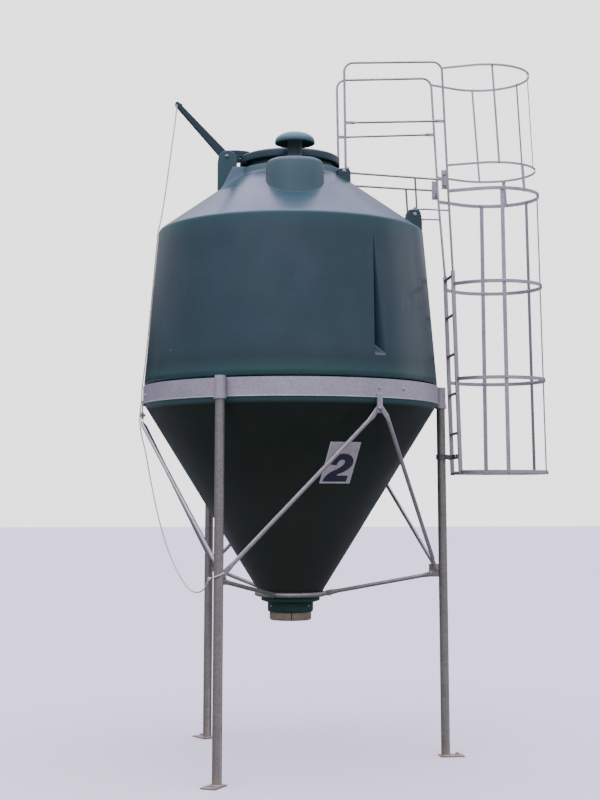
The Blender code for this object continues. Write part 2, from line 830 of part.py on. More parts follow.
def make_handrail(name, side):
    """The bent tube from the stile to the roof, with its middle rail and its side plate."""
    corners = rail_corners(side)
    tube = as_mesh(rod("tube", filleted(corners, RAIL_BEND_R), RAIL_R))
    turn, foot = corners[3], corners[4]
    inner = between(foot, turn, (MID_RAIL_Z[0] - foot.z) / (turn.z - foot.z))
    outer = rail_at(side, MID_RAIL_Z[1])
    beside = Vector((0, side, 0))
    rail = crushed_tube("mid_rail", inner, outer, MID_RAIL_R, beside, beside, flat=0.035)
    end_x = rail_at(side, PLATE_Z[1]).x
    middle = ((PLATE_X + end_x) / 2, rail_at(side, PLATE_Z[0]).y, sum(PLATE_Z) / 2)
    plate = box("plate", (end_x - PLATE_X, 0.005, PLATE_Z[1] - PLATE_Z[0]), middle)
    welded(f"handrail_{name}", [tube, rail, plate], GALVANISED)


def make_stay(name, side):
    """The bar along the roof, its post on the shoulder lug, and the short bar to the handrail."""
    plate_y = rail_at(side, PLATE_Z[0]).y
    start = Vector((INNER_LUG_X[1] + GAP + 0.0005, side * INNER_LUG_Y, 3.893))
    end = Vector((PLATE_X - 0.0006, plate_y, 3.863))
    stringer = as_mesh(rod("stringer", (start, end), STRINGER_R))
    lug_y = side * SHOULDER_LUG_Y
    top = between(start, end, (0.842 - start.x) / (end.x - start.x))
    post = as_mesh(rod("post", (Vector((0.853, lug_y, SHOULDER_LUG_TOP + 0.003)), top), 0.007))
    seat_z = SHOULDER_LUG_TOP + GAP + 0.0025
    seat = box("seat", (0.080, 0.030, 0.005), (0.868, lug_y, seat_z))
    stile_end = rail_at(side, 3.650) - Vector((RAIL_R + 0.0009, 0, 0))
    bar = as_mesh(rod("bar", (Vector((0.896, lug_y, seat_z + 0.003)), stile_end), 0.0065))
    welded(f"roof_stay_{name}", [stringer, post, seat, bar], GALVANISED)


def make_roof_space():
    """The space of the roof and its collar, which whatever stands on the roof is cut back from."""
    profile = (
        (0.0, roof_z(0.0) + GAP),
        (COLLAR_STEP_R + GAP, roof_z(COLLAR_STEP_R + GAP) + GAP),
        (SHOULDER_R + 0.1, roof_z(SHOULDER_R + 0.1) + GAP),
        (SHOULDER_R + 0.1, 3.2),
        (0.0, 3.2),
    )
    space = turned("roof_space", profile, None, group=CUTTERS, closed=False)
    profile = (
        (0.0, NECK_TOP + 0.1),
        (COLLAR_STEP_R + FACET_LIFT, NECK_TOP + 0.1),
        (COLLAR_STEP_R + FACET_LIFT, 3.7),
        (0.0, 3.7),
    )
    collar = turned("collar_space", profile, None, group=CUTTERS, closed=False)
    return as_cutter(space), as_cutter(collar)


def make_roof_lugs(spaces):
    """Moulded feet on the roof that carry the handrails."""
    inner = (
        (INNER_LUG_X[0], 3.780),
        (INNER_LUG_X[1], 3.780),
        (INNER_LUG_X[1], INNER_LUG_TOP - 0.016),
        (INNER_LUG_X[1] - 0.014, INNER_LUG_TOP),
        (INNER_LUG_X[0] + 0.014, INNER_LUG_TOP),
        (INNER_LUG_X[0], INNER_LUG_TOP - 0.016),
    )
    shoulder = (
        (0.765, 3.450),
        (0.885, 3.450),
        (0.885, SHOULDER_LUG_TOP - 0.090),
        (0.876, SHOULDER_LUG_TOP - 0.024),
        (0.868, SHOULDER_LUG_TOP - 0.006),
        (0.856, SHOULDER_LUG_TOP),
        (0.812, SHOULDER_LUG_TOP),
        (0.787, SHOULDER_LUG_TOP - 0.010),
        (0.770, SHOULDER_LUG_TOP - 0.058),
    )
    for name, side in (("near", -1), ("far", 1)):
        for kind, outline, y in (("inner", inner, INNER_LUG_Y), ("shoulder", shoulder, SHOULDER_LUG_Y)):
            lug = flat_outline(f"{kind}_lug_{name}", outline, LUG_WIDTH, centre=(0, side * y, 0))
            for space in spaces:
                cut(lug, space)
            finish(lug, POLYETHYLENE)


# Roof furniture

def make_collar():
    profile = (
        (NECK_R, NECK_TOP),
        (NECK_R, COLLAR_STEP_Z),
        (COLLAR_STEP_R - 0.006, COLLAR_STEP_Z),
        (COLLAR_STEP_R, COLLAR_STEP_Z - 0.006),
        (COLLAR_STEP_R, roof_z(COLLAR_STEP_R) + FACET_LIFT),
        (ROOF_HOLE_R, roof_z(ROOF_HOLE_R) + FACET_LIFT),
        (ROOF_HOLE_R, NECK_TOP),
    )
    turned("roof_collar", profile, POLYETHYLENE, steps=40)


def make_vent(spaces):
    edge = 0.035
    corner = arc((TURRET_R - edge, TURRET_TOP - edge), edge, 90, 0, 4)
    profile = [(0.0, TURRET_TOP)] + corner + [(TURRET_R, 3.6), (0.0, 3.6)]
    turret = turned("vent_turret", profile, None, steps=32, closed=False)
    turret.location = (TURRET_X, TURRET_Y, 0.0)
    for space in spaces:
        cut(turret, space)
    finish(turret, POLYETHYLENE)
    rim_z = CAP_RIM_Z
    dome_foot_z = rim_z + 0.016
    dome = [(CAP_R * math.sin(a), dome_foot_z + DOME_RISE * math.cos(a)) for a in quarter_turn(6)]
    profile = dome + [
        (CAP_R, rim_z),
        (CAP_R - 0.008, rim_z - 0.003),
        (CAP_R - 0.014, rim_z + 0.008),
        (STEM_R, rim_z + 0.014),
        (STEM_R, TURRET_TOP + GAP),
        (0.0, TURRET_TOP + GAP),
    ]
    cap = turned("vent_cap", profile, POLYETHYLENE, steps=28, closed=False)
    cap.location = (TURRET_X, TURRET_Y, 0.0)


def quarter_turn(steps):
    return [math.pi / 2 * step / steps for step in range(steps + 1)]


def make_lid():
    profile = (
        (0.0, LID_TOP_Z + 0.018),
        (0.160, LID_TOP_Z + 0.012),
        (0.290, LID_TOP_Z - 0.003),
        (0.322, LID_TOP_Z + 0.002),
        (0.342, LID_TOP_Z - 0.002),
        (LID_R, LID_TOP_Z - 0.014),
        (LID_R, LID_RIM_Z),
        (LID_R - 0.009, LID_RIM_Z),
        (LID_R - 0.010, LID_INNER_Z - 0.012),
        (LID_R - 0.022, LID_INNER_Z),
        (0.290, LID_INNER_Z),
        (0.160, LID_INNER_Z + 0.012),
        (0.0, LID_INNER_Z + 0.018),
    )
    lid = turned("lid", profile, POLYETHYLENE, steps=40, closed=False)
    lid.location = (LID_X, 0.0, 0.0)


def lever_outline():
    """The lever and its short arm over the lid, as one outline in the XZ plane."""
    px, pz = PIVOT
    angle = math.radians(LEVER_ANGLE)
    along = Vector((math.cos(angle), math.sin(angle)))
    centre = Vector(PIVOT) + along * (LEVER_LENGTH - LEVER_TIP_W)
    tip = arc(centre, LEVER_TIP_W, LEVER_ANGLE - 90, LEVER_ANGLE + 90, 6)
    hub = arc((px, pz), LEVER_HUB_W, LEVER_ANGLE + 90, LEVER_ANGLE + 170, 5)
    rim_x = LID_X - (LID_R + 0.0005)
    arm = [
        (px + 0.036, ARM_LOW_Z),
        (rim_x, ARM_LOW_Z),
        (rim_x, LID_TOP_Z + 0.0026),
        (-0.265, LID_TOP_Z + 0.0026),
        (-0.265, 4.050),
        (-0.300, 4.074),
        (-0.380, 4.080),
        (-0.4565, 4.0765),
    ]
    return arm + tip + hub


def make_hinge(spaces):
    """The moulded lug with two cheeks, its pin, and the lever between the cheeks."""
    px, pz = PIVOT
    crown = arc(CHEEK_CENTRE, CHEEK_R, 0, 180, 10)
    middle_x = CHEEK_CENTRE[0]
    cheek = crown + [(middle_x - CHEEK_R, 3.70), (middle_x + CHEEK_R, 3.70)]
    thickness = CHEEK_OUT - CHEEK_IN
    y = (CHEEK_OUT + CHEEK_IN) / 2
    lug = flat_outline("hinge_lug", cheek, thickness, centre=(0, -y, 0))
    other = flat_outline("far_cheek", cheek, thickness, centre=(0, y, 0), group=CUTTERS)
    low = 3.70
    web_top = 3.915
    web_size = (2 * CHEEK_R, 2 * CHEEK_OUT, web_top - low)
    web = box("web", web_size, (middle_x, 0, (web_top + low) / 2), group=CUTTERS)
    base = sloped_block("hinge_shelf", SHELF_TOP, SHELF_FOOT, group=CUTTERS)
    slot = box("lever_slot", (0.30, 2 * CHEEK_IN, 0.30), (px - 0.12, 0, web_top + 0.15), group=CUTTERS)
    for piece in (other, web, base):
        cut(lug, as_cutter(piece), "UNION")
    for space in spaces:
        cut(lug, space)
    cut(lug, as_cutter(slot))
    bore = cylinder("pin_bore", PIN_R + 0.0006, 0.3, (px, 0, pz), 24, axis=(0, 1, 0), group=CUTTERS)
    cut(lug, as_cutter(bore))
    finish(lug, POLYETHYLENE)
    pin = cylinder("hinge_pin", PIN_R, 2 * CHEEK_OUT + 0.010, (px, 0, pz), 24, axis=(0, 1, 0))
    finish(pin, GALVANISED)
    lever = flat_outline("lid_lever", lever_outline(), 2 * LEVER_HALF_T)
    cut(lever, bore)
    finish(lever, POLYETHYLENE)


# Number plate

def make_number_plate():
    """A thin plate bent to the hopper, whose long side runs down the slant."""
    width, length = PLATE_SIZE
    bm = bmesh.new()
    bmesh.ops.create_grid(bm, x_segments=8, y_segments=1, size=0.5)
    reach = 2 * max(vert.co.x for vert in bm.verts)
    slant = math.hypot(1.0, CONE_SLOPE)
    for vert in bm.verts:
        z = PLATE_TOP_Z - (0.5 - vert.co.y / reach) * length / slant
        radius = cone_r(z) + 0.0006
        swing = math.degrees(vert.co.x / reach * width / radius)
        vert.co = polar(radius, PLATE_AZIMUTH + swing, z)
    plate = object_from(bm, "number_plate")
    skin = plate.modifiers.new("thickness", "SOLIDIFY")
    skin.thickness = 0.002
    skin.offset = 1.0
    finish(plate, WHITE_PLATE)


# Rope: each run's points are chosen by hand, relative to the tank's axis

ROPE_LIFT = (
    (-0.7975, -0.0290, 4.392),
    (-0.809, -0.033, 4.262),
    (-0.826, -0.037, 4.120),
    (-0.846, -0.041, 3.950),
    (-0.868, -0.044, 3.770),
    (-0.889, -0.046, 3.620),
    (-0.909, -0.046, 3.510),
)
ROPE_RUN = (
    (-0.909, -0.046, 3.5096),
    (-0.9165, -0.046, 3.470),
    (-0.934, -0.044, 3.250),
    (-0.952, -0.041, 3.020),
    (-0.970, -0.038, 2.800),
    (-0.989, -0.035, 2.580),
    (-1.0045, -0.033, 2.440),
    (-1.0085, -0.033, 2.350),
    (-1.0140, -0.034, 2.290),
    (-1.0172, -0.036, 2.240),
    (-1.0175, -0.041, 2.190),
    (-1.0060, -0.056, 2.110),
    (-0.976, -0.086, 1.990),
    (-0.942, -0.138, 1.820),
    (-0.905, -0.210, 1.650),
    (-0.866, -0.290, 1.500),
    (-0.824, -0.375, 1.372),
    (-0.785, -0.455, 1.282),
    (-0.745, -0.540, 1.207),
    (-0.705, -0.625, 1.150),
    (-0.665, -0.710, 1.121),
    (-0.628, -0.790, 1.123),
    (-0.598, -0.855, 1.150),
    (-0.5768, -0.9083, 1.2007),
)
KNOT_PLACE = (-0.5735, -0.9165, 1.2085)
KNOT_R = 0.011


def smooth_route(points, count):
    """Evenly spaced points on a Catmull-Rom curve through the route's own points."""
    points = [Vector(point) for point in points]
    ends = [points[0] * 2 - points[1]] + points + [points[-1] * 2 - points[-2]]
    fine = []
    for a, b, c, d in zip(ends, ends[1:], ends[2:], ends[3:]):
        for step in range(24):
            t = step / 24
            curve = b * 2 + (c - a) * t
            curve += (a * 2 - b * 5 + c * 4 - d) * t * t
            curve += (b * 3 - c * 3 + d - a) * t * t * t
            fine.append(curve / 2)
    fine.append(points[-1])
    lengths = [0.0]
    for start, end in zip(fine, fine[1:]):
        lengths.append(lengths[-1] + (end - start).length)
    route = []
    index = 0
    for number in range(count):
        target = lengths[-1] * number / (count - 1)
        while index < len(fine) - 2 and lengths[index + 1] < target:
            index += 1
        share = (target - lengths[index]) / (lengths[index + 1] - lengths[index])
        route.append(between(fine[index], fine[index + 1], share))
    return route


def make_rope():
    """The rope from the lever's tip down to the knot, and its hitch round a leg."""
    lift = as_mesh(rod("rope_lift", smooth_route(ROPE_LIFT, 14), ROPE_R))
    finish(lift, ROPE_FIBRE, smooth_angle=60)
    run = as_mesh(rod("rope_run", smooth_route(ROPE_RUN, 60), ROPE_R))
    finish(run, ROPE_FIBRE, smooth_angle=60)
    bm = bmesh.new()
    bmesh.ops.create_uvsphere(bm, u_segments=12, v_segments=8, radius=KNOT_R)
    knot = object_from(bm, "knot")
    knot.location = KNOT_PLACE
    bpy.context.view_layer.update()
    leg = polar(LEG_CIRCLE_R, LEG_AZIMUTHS["a"])
    turns = arc(leg, LEG_R + ROPE_R + GAP, 215, 335, 10)
    rise = 0.030 / len(turns)
    route = [Vector(KNOT_PLACE)]
    route += [Vector((x, y, 1.214 + rise * number)) for number, (x, y) in enumerate(turns)]
    hitch = as_mesh(rod("hitch", route, ROPE_R))
    welded("rope_hitch", [knot, hitch], ROPE_FIBRE, smooth_angle=60)


def hang_on_hinge():
    """Parents the moving pieces to an empty on the hinge's axis."""
    axis = bpy.data.objects.new("lid_hinge_axis", None)
    axis.location = (PIVOT[0], 0.0, PIVOT[1])
    MODEL.objects.link(axis)
    bpy.context.view_layer.update()
    for name in ("lid", "lid_lever"):
        moving = bpy.data.objects[name]
        moving.parent = axis
        moving.matrix_parent_inverse = axis.matrix_world.inverted()


def stand_on_origin():
    """Moves the whole model so that the origin is under the middle of its box."""
    for obj in bpy.data.objects:
        if obj.parent is None:
            obj.location.x += TANK_X


def main():
    make_wall()
    make_roof()
    make_hopper()
    make_outlet()
    make_ring()
    make_legs()
    make_braces()
    make_struts()
    make_ladder()
    make_ladder_clamp()
    make_cage()
    make_rails()
    spaces = make_roof_space()
    make_roof_lugs(spaces)
    make_collar()
    make_vent(spaces)
    make_lid()
    make_hinge(spaces)
    make_number_plate()
    make_rope()
    hang_on_hinge()
    stand_on_origin()


main()
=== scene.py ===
"""Looks of a polyethylene silo on a galvanised stand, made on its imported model. All lengths are in metres."""

import math

import bmesh
import bpy
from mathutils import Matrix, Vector, noise


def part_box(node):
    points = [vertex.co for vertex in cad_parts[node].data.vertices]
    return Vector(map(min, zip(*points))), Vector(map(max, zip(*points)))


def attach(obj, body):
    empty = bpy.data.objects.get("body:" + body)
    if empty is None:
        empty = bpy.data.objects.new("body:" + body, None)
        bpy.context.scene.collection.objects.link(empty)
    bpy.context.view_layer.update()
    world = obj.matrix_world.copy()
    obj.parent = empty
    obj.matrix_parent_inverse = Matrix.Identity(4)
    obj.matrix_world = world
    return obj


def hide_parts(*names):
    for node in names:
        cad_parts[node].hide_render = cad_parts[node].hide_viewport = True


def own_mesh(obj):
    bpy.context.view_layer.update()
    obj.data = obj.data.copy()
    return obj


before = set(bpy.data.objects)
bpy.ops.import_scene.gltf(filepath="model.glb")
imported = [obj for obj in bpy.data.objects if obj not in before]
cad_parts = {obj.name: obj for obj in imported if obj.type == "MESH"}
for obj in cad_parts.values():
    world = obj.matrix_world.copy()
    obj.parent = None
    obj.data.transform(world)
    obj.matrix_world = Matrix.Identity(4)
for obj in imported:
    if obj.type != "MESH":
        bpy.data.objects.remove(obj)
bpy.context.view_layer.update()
wall_low, wall_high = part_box("tank_wall")
AXIS_X = (wall_low.x + wall_high.x) / 2

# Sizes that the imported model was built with, measured from the tank's axis
GAP = 0.0003
SHOULDER_R = 0.9105
SHOULDER_Z = 3.490
WALL_FOOT_R = 0.9955
WALL_FOOT_Z = 2.302
STRAIGHT_Z = 2.430
SEAT_R = 0.9945
SHELL = 0.010
ROOF_SLOPE = 0.72
ROOF_HOLE_R = 0.300
CONE_TOP_R = 0.985
CONE_SLOPE = 0.6305
CONE_FOOT_Z = 1.040
GROOVE_AZIMUTHS = (30, 150, 270)
GROOVE_ROOT_R = 0.9165
GROOVE_HALF_ANGLE = 34
GROOVE_FOOT_Z = 2.585
GROOVE_FOOT_R = 0.9815
RING_R = 1.000
LEG_CIRCLE_R = 1.0335
LEG_R = 0.030
SOCKET_R = 0.0345
TAB_HALF_WIDTH = 0.020
LEG_AZIMUTHS = {"a": -30, "b": 90, "c": -150}
TAB_AZIMUTHS = {"ab": 28.7, "bc": 150, "ca": -90}
TURRET_X = -0.017
TURRET_Y = -0.490
TURRET_TOP = 3.904
TURRET_FOOT_R = 0.193
CAP_R = 0.1325
CAP_RIM_Z = 4.018
CAP_TOP_Z = 4.094
STEM_R = 0.0487
LID_R = 0.348
LID_X = -0.008
LID_RIM_Z = 3.972
LID_INNER_Z = 4.014
LID_TOP_Z = 4.030
PIVOT = (-0.450, 4.025)
LEVER_LENGTH = 0.5095
LEVER_RISE = 132.6
CHEEK_CENTRE = (-0.4445, 4.0015)
CHEEK_R = 0.0655
SHELF_TOP_Z = 3.942
COLLAR_STEP_R = 0.360
COLLAR_STEP_Z = 3.930
NECK_R = 0.310
NECK_TOP = 4.0137
ROPE_R = 0.004


def roof_z(radius):
    return SHOULDER_Z + GAP + (SHOULDER_R - radius) * ROOF_SLOPE


def wall_r(z):
    return SHOULDER_R + (SHOULDER_Z - z) * (WALL_FOOT_R - SHOULDER_R) / (SHOULDER_Z - STRAIGHT_Z)


def cone_r(z):
    return CONE_TOP_R - (WALL_FOOT_Z - GAP - z) * CONE_SLOPE


def from_axis(x, y, z):
    """A point measured from the foot of the tank's axis."""
    return Vector((AXIS_X + x, y, z))


def outward(azimuth):
    """The level way out from an upright axis; azimuth 0 faces -Y and 90 faces +X."""
    turn = math.radians(azimuth)
    return Vector((math.sin(turn), -math.cos(turn), 0.0))


def polar(radius, azimuth, z=0.0):
    """A point round the tank's axis."""
    turn = math.radians(azimuth)
    return from_axis(radius * math.sin(turn), -radius * math.cos(turn), z)


def evenly(start, end, count):
    """The numbers from start to end, in a count of even steps."""
    return [start + (end - start) * step / count for step in range(count + 1)]


# Camera


def make_camera():
    """The camera that was solved from the photo's legs, ring, cage and handrails."""
    data = bpy.data.cameras.new("camera")
    data.lens = 66.16
    data.sensor_width = 36.0
    data.shift_y = -0.163
    data.clip_end = 200.0
    camera = bpy.data.objects.new("camera", data)
    camera.location = (-1.25835, -9.985, 1.686)
    forward = Vector((0.093, 0.984, 0.154))
    camera.rotation_euler = forward.to_track_quat("-Z", "Y").to_euler()
    bpy.context.scene.collection.objects.link(camera)
    bpy.context.scene.camera = camera


make_camera()

# Materials


class Nodes:
    """A node tree while it is put together."""

    def __init__(self, tree):
        self.tree = tree

    def node(self, kind, **inputs):
        made = self.tree.nodes.new(kind)
        for name, value in inputs.items():
            self.feed(made.inputs[name.replace("_", " ")], value)
        return made

    def feed(self, socket, value):
        """Gives an input the output of another node, or a plain value."""
        if isinstance(value, bpy.types.NodeSocket):
            self.tree.links.new(value, socket)
        elif socket.type == "RGBA":
            socket.default_value = (*value, 1.0)
        else:
            socket.default_value = value

    def span(self, value, low, high, start=0.0, end=1.0):
        """Maps low to high of a value onto start to end."""
        sides = {"From_Min": low, "From_Max": high, "To_Min": start, "To_Max": end}
        return self.node("ShaderNodeMapRange", Value=value, **sides).outputs["Result"]

    def mix(self, share, first, second):
        made = self.tree.nodes.new("ShaderNodeMix")
        made.data_type = "RGBA"
        self.feed(made.inputs["Factor"], share)
        self.feed(made.inputs[6], first)
        self.feed(made.inputs[7], second)
        return made.outputs[2]

    def combine(self, operation, first, second):
        made = self.tree.nodes.new("ShaderNodeMath")
        made.operation = operation
        self.feed(made.inputs[0], first)
        self.feed(made.inputs[1], second)
        return made.outputs["Value"]

    def times(self, first, second):
        return self.combine("MULTIPLY", first, second)


class Look(Nodes):
    """A material while it is put together."""

    def __init__(self, name, metallic=0.0, shine=0.5):
        self.material = bpy.data.materials.new(name)
        self.material.use_nodes = True
        super().__init__(self.material.node_tree)
        self.shader = self.tree.nodes["Principled BSDF"]
        self.shader.inputs["Metallic"].default_value = metallic
        self.shader.inputs["Specular IOR Level"].default_value = shine
        self.place = self.tree.nodes.new("ShaderNodeTexCoord").outputs["Object"]

    def noise(self, scale, detail, stretch=(1, 1, 1)):
        place = self.node("ShaderNodeMapping", Vector=self.place, Scale=stretch).outputs["Vector"]
        return self.node("ShaderNodeTexNoise", Vector=place, Scale=scale, Detail=detail).outputs["Fac"]

    def cells(self, scale):
        """A random value for each cell of a crystal pattern."""
        made = self.node("ShaderNodeTexVoronoi", Vector=self.place, Scale=scale)
        return self.node("ShaderNodeSeparateColor", Color=made.outputs["Color"]).outputs["Red"]

    def height(self):
        return self.node("ShaderNodeSeparateXYZ", Vector=self.place).outputs["Z"]

    def bump(self, height, distance, strength, below=None):
        made = self.node("ShaderNodeBump", Height=height, Distance=distance, Strength=strength)
        if below is not None:
            self.feed(made.inputs["Normal"], below)
        return made.outputs["Normal"]

    def done(self, colour, roughness, normal=None):
        self.feed(self.shader.inputs["Base Color"], colour)
        self.feed(self.shader.inputs["Roughness"], roughness)
        if normal is not None:
            self.feed(self.shader.inputs["Normal"], normal)
        return self.material


# Bands of painted light and shade on the tank (teal under the shoulder, darker lower down, lighter above the
# ring): the height where a band starts, where it is full, its share there, its colour
PAINTED_LIGHT_BANDS = (
    (3.36, 3.47, 0.70, (0.009, 0.056, 0.056)),
    (2.64, 2.56, 0.45, (0.004, 0.022, 0.023)),
    (2.555, 2.480, 0.85, (0.014, 0.054, 0.050)),
)


def paint_light_bands(look, colour):
    """Adds the painted bands, and a painted highlight along the shoulder's edge."""
    height = look.height()
    for start, full, share, tint in PAINTED_LIGHT_BANDS:
        colour = look.mix(look.span(height, start, full, 0.0, share), colour, tint)
    # Painted highlight: a pale teal line along the rounded edge of the shoulder.
    edge = look.times(look.span(height, 3.474, 3.482), look.span(height, 3.4905, 3.495, 1.0, 0.0))
    return look.mix(edge, colour, (0.026, 0.095, 0.100))


def polyethylene_look(name, dark, light, dust, low, high, shine):
    """Moulded plastic: even colour, a fine peel, and duller dusty places."""
    look = Look(name, shine=shine)
    patch = look.noise(4.0, 3.0, (1.0, 1.0, 0.8))
    grain = look.noise(900.0, 2.0)
    colour = look.mix(look.span(look.noise(3.0, 4.0), 0.35, 0.65), dark, light)
    colour = look.mix(look.span(patch, 0.45, 0.75, 0.0, 0.10), colour, dust)
    # Only the tank gets the bands of painted light and shade.
    if name == "tank_shell":
        colour = paint_light_bands(look, colour)
    rough = look.times(look.span(patch, 0.35, 0.75, low, high), look.span(grain, 0.3, 0.7, 0.94, 1.06))
    normal = look.bump(look.noise(140.0, 2.0), 0.0002, 0.08)
    return look.done(colour, rough, look.bump(grain, 0.0001, 0.10, below=normal))


def hopper_look():
    """The same plastic painted dark as deep shade, with painted light low down and a painted highlight on the
    rounded edge under the ring.
    """
    look = Look("hopper_shell", shine=0.18)
    cloud = look.noise(3.5, 4.0)
    height = look.height()
    # Painted shade: the hopper's own colour is made far darker than the tank's.
    colour = look.mix(look.span(cloud, 0.35, 0.65), (0.0135, 0.0200, 0.0140), (0.0185, 0.0265, 0.0190))
    streak = look.span(look.noise(7.0, 5.0, (3.0, 3.0, 0.4)), 0.55, 0.8, 0.0, 0.22)
    colour = look.mix(streak, colour, (0.022, 0.028, 0.026))
    # Painted light, stronger lower down towards the outlet.
    colour = look.mix(look.span(height, 2.05, 1.60, 0.0, 0.8), colour, (0.0290, 0.0365, 0.0275))
    # Painted highlight: a light teal band on the rounded edge just under the ring.
    colour = look.mix(look.span(height, 2.270, 2.294), colour, (0.066, 0.140, 0.142))
    rough = look.span(cloud, 0.3, 0.7, 0.36, 0.50)
    return look.done(colour, rough, look.bump(look.noise(140.0, 2.0), 0.0004, 0.12))


def clouded_look(name, scale, first, second, smooth, rough):
    """A plain mottled surface."""
    look = Look(name)
    cloud = look.noise(scale, 4.0)
    colour = look.mix(look.span(cloud, 0.3, 0.7), first, second)
    return look.done(colour, look.span(cloud, 0.3, 0.7, smooth, rough))


def galvanised_look(name, dark, light, rust_share, metallic):
    """Hot dip zinc: faint crystal patches, cloudy oxide, dull streaks and some rust."""
    look = Look(name, metallic)
    cloud = look.noise(7.0, 6.0)
    fine = look.noise(130.0, 4.0)
    value = look.combine("ADD", look.times(look.cells(85.0), 0.22), look.times(fine, 0.35))
    value = look.combine("ADD", value, look.times(cloud, 0.60))
    colour = look.mix(look.span(value, 0.42, 0.80), dark, light)
    stain = look.span(look.noise(14.0, 6.0), 0.60, 0.76, 0.0, rust_share)
    colour = look.mix(stain, colour, (0.15, 0.095, 0.062))
    if name == "shaded_zinc_tube":
        dust = look.span(look.noise(28.0, 5.0), 0.30, 0.65, 0.25, 0.75)
        low_down = look.span(look.height(), 0.006, 0.120, 1.0, 0.0)
        colour = look.mix(look.times(dust, low_down), colour, (0.42, 0.33, 0.21))
    normal = look.bump(fine, 0.0003, 0.22)
    normal = look.bump(cloud, 0.0012, 0.12, below=normal)
    return look.done(colour, look.span(value, 0.35, 0.85, 0.54, 0.38), normal)


def spout_look():
    look = Look("spout_steel", metallic=0.5)
    cloud = look.noise(14.0, 5.0, (1.0, 1.0, 2.5))
    rust = look.span(look.noise(60.0, 6.0), 0.50, 0.80, 0.0, 0.4)
    colour = look.mix(look.span(cloud, 0.3, 0.7), (0.222, 0.174, 0.116), (0.326, 0.270, 0.195))
    colour = look.mix(rust, colour, (0.13, 0.080, 0.052))
    normal = look.bump(look.noise(300.0, 4.0), 0.0004, 0.3)
    return look.done(colour, look.span(rust, 0.0, 0.6, 0.40, 0.7), normal)


def plate_look():
    look = Look("white_plate")
    cloud = look.noise(30.0, 5.0)
    colour = look.mix(look.span(cloud, 0.35, 0.7), (0.56, 0.485, 0.50), (0.45, 0.385, 0.39))
    normal = look.bump(look.noise(400.0, 2.0), 0.0001, 0.2)
    return look.done(colour, look.span(cloud, 0.3, 0.7, 0.38, 0.6), normal)


def print_look():
    look = Look("plate_print")
    wear = look.span(look.noise(350.0, 5.0), 0.56, 0.80, 0.0, 0.5)
    colour = look.mix(wear, (0.018, 0.017, 0.042), (0.10, 0.09, 0.12))
    return look.done(colour, look.span(wear, 0.0, 0.5, 0.42, 0.6))


def rope_look():
    look = Look("rope_fibre")
    fibre = look.noise(500.0, 4.0, (1.0, 1.0, 0.4))
    dirt = look.noise(12.0, 5.0)
    colour = look.mix(look.span(fibre, 0.3, 0.7), (0.46, 0.38, 0.30), (0.74, 0.66, 0.55))
    colour = look.mix(look.span(dirt, 0.5, 0.75, 0.0, 0.5), colour, (0.26, 0.20, 0.15))
    return look.done(colour, look.span(fibre, 0.3, 0.7, 0.95, 0.75), look.bump(fibre, 0.0006, 0.5))


# Moulded pieces: dark tone, light tone, dust, roughness where clean and where dusty, and shine
PLASTICS = (
    ("tank_shell", (0.0082, 0.0320, 0.0385), (0.0120, 0.0385, 0.0460), (0.06, 0.08, 0.088), 0.25, 0.34, 0.5),
    ("moulded_fitting", (0.014, 0.056, 0.060), (0.019, 0.064, 0.068), (0.07, 0.09, 0.10), 0.30, 0.46, 0.5),
    # A lighter copy of the fitting plastic for the turret: painted light.
    ("painted_light_fitting", (0.032, 0.080, 0.083), (0.044, 0.096, 0.100), (0.12, 0.14, 0.155), 0.34, 0.50, 0.5),
    ("shaded_fitting", (0.008, 0.032, 0.034), (0.014, 0.042, 0.044), (0.05, 0.06, 0.07), 0.34, 0.50, 0.5),
    ("moulded_lid", (0.005, 0.027, 0.033), (0.008, 0.034, 0.040), (0.06, 0.08, 0.09), 0.32, 0.46, 0.42),
    ("moulded_cap", (0.024, 0.094, 0.098), (0.032, 0.110, 0.115), (0.08, 0.11, 0.12), 0.32, 0.46, 0.5),
    ("moulded_shelf", (0.022, 0.062, 0.068), (0.030, 0.074, 0.080), (0.06, 0.09, 0.10), 0.48, 0.60, 0.3),
    ("outlet_shell", (0.006, 0.036, 0.025), (0.009, 0.046, 0.033), (0.05, 0.07, 0.065), 0.34, 0.50, 0.3),
    ("outlet_flange_shell", (0.018, 0.062, 0.048), (0.024, 0.076, 0.060), (0.06, 0.09, 0.08), 0.4, 0.55, 0.3),
)
# Zinc-coated pieces: dark tone, light tone, share of rust, and how metallic
METALS = (
    ("galvanised", (0.355, 0.340, 0.368), (0.505, 0.485, 0.518), 0.22, 0.60),
    ("galvanised_brace", (0.345, 0.336, 0.330), (0.50, 0.488, 0.480), 0.22, 0.70),
    # A darker copy of the zinc for the legs, struts, hoop, stays and mid-rails: painted shade.
    ("shaded_zinc_tube", (0.225, 0.216, 0.188), (0.335, 0.323, 0.281), 0.28, 0.75),
    ("dull_steel", (0.095, 0.092, 0.098), (0.20, 0.192, 0.202), 0.28, 0.60),
    ("cage_steel", (0.325, 0.314, 0.332), (0.49, 0.475, 0.498), 0.15, 0.60),
    ("bolt_steel", (0.30, 0.29, 0.30), (0.56, 0.54, 0.56), 0.20, 0.80),
)
LOOKS = {row[0]: polyethylene_look(*row) for row in PLASTICS}
LOOKS |= {row[0]: galvanised_look(*row) for row in METALS}
LOOKS |= {
    "hopper_shell": hopper_look(),
    "spout_steel": spout_look(),
    "white_plate": plate_look(),
    "plate_print": print_look(),
    "rope_fibre": rope_look(),
    "scuff": clouded_look("scuff", 600.0, (0.05, 0.09, 0.10), (0.16, 0.20, 0.21), 0.55, 0.8),
    "laminate_rim": clouded_look("laminate_rim", 40.0, (0.50, 0.49, 0.53), (0.68, 0.66, 0.70), 0.22, 0.40),
}

# Making pieces

STAND_EDGE = 0.0008
CAGE_EDGE = 0.0006


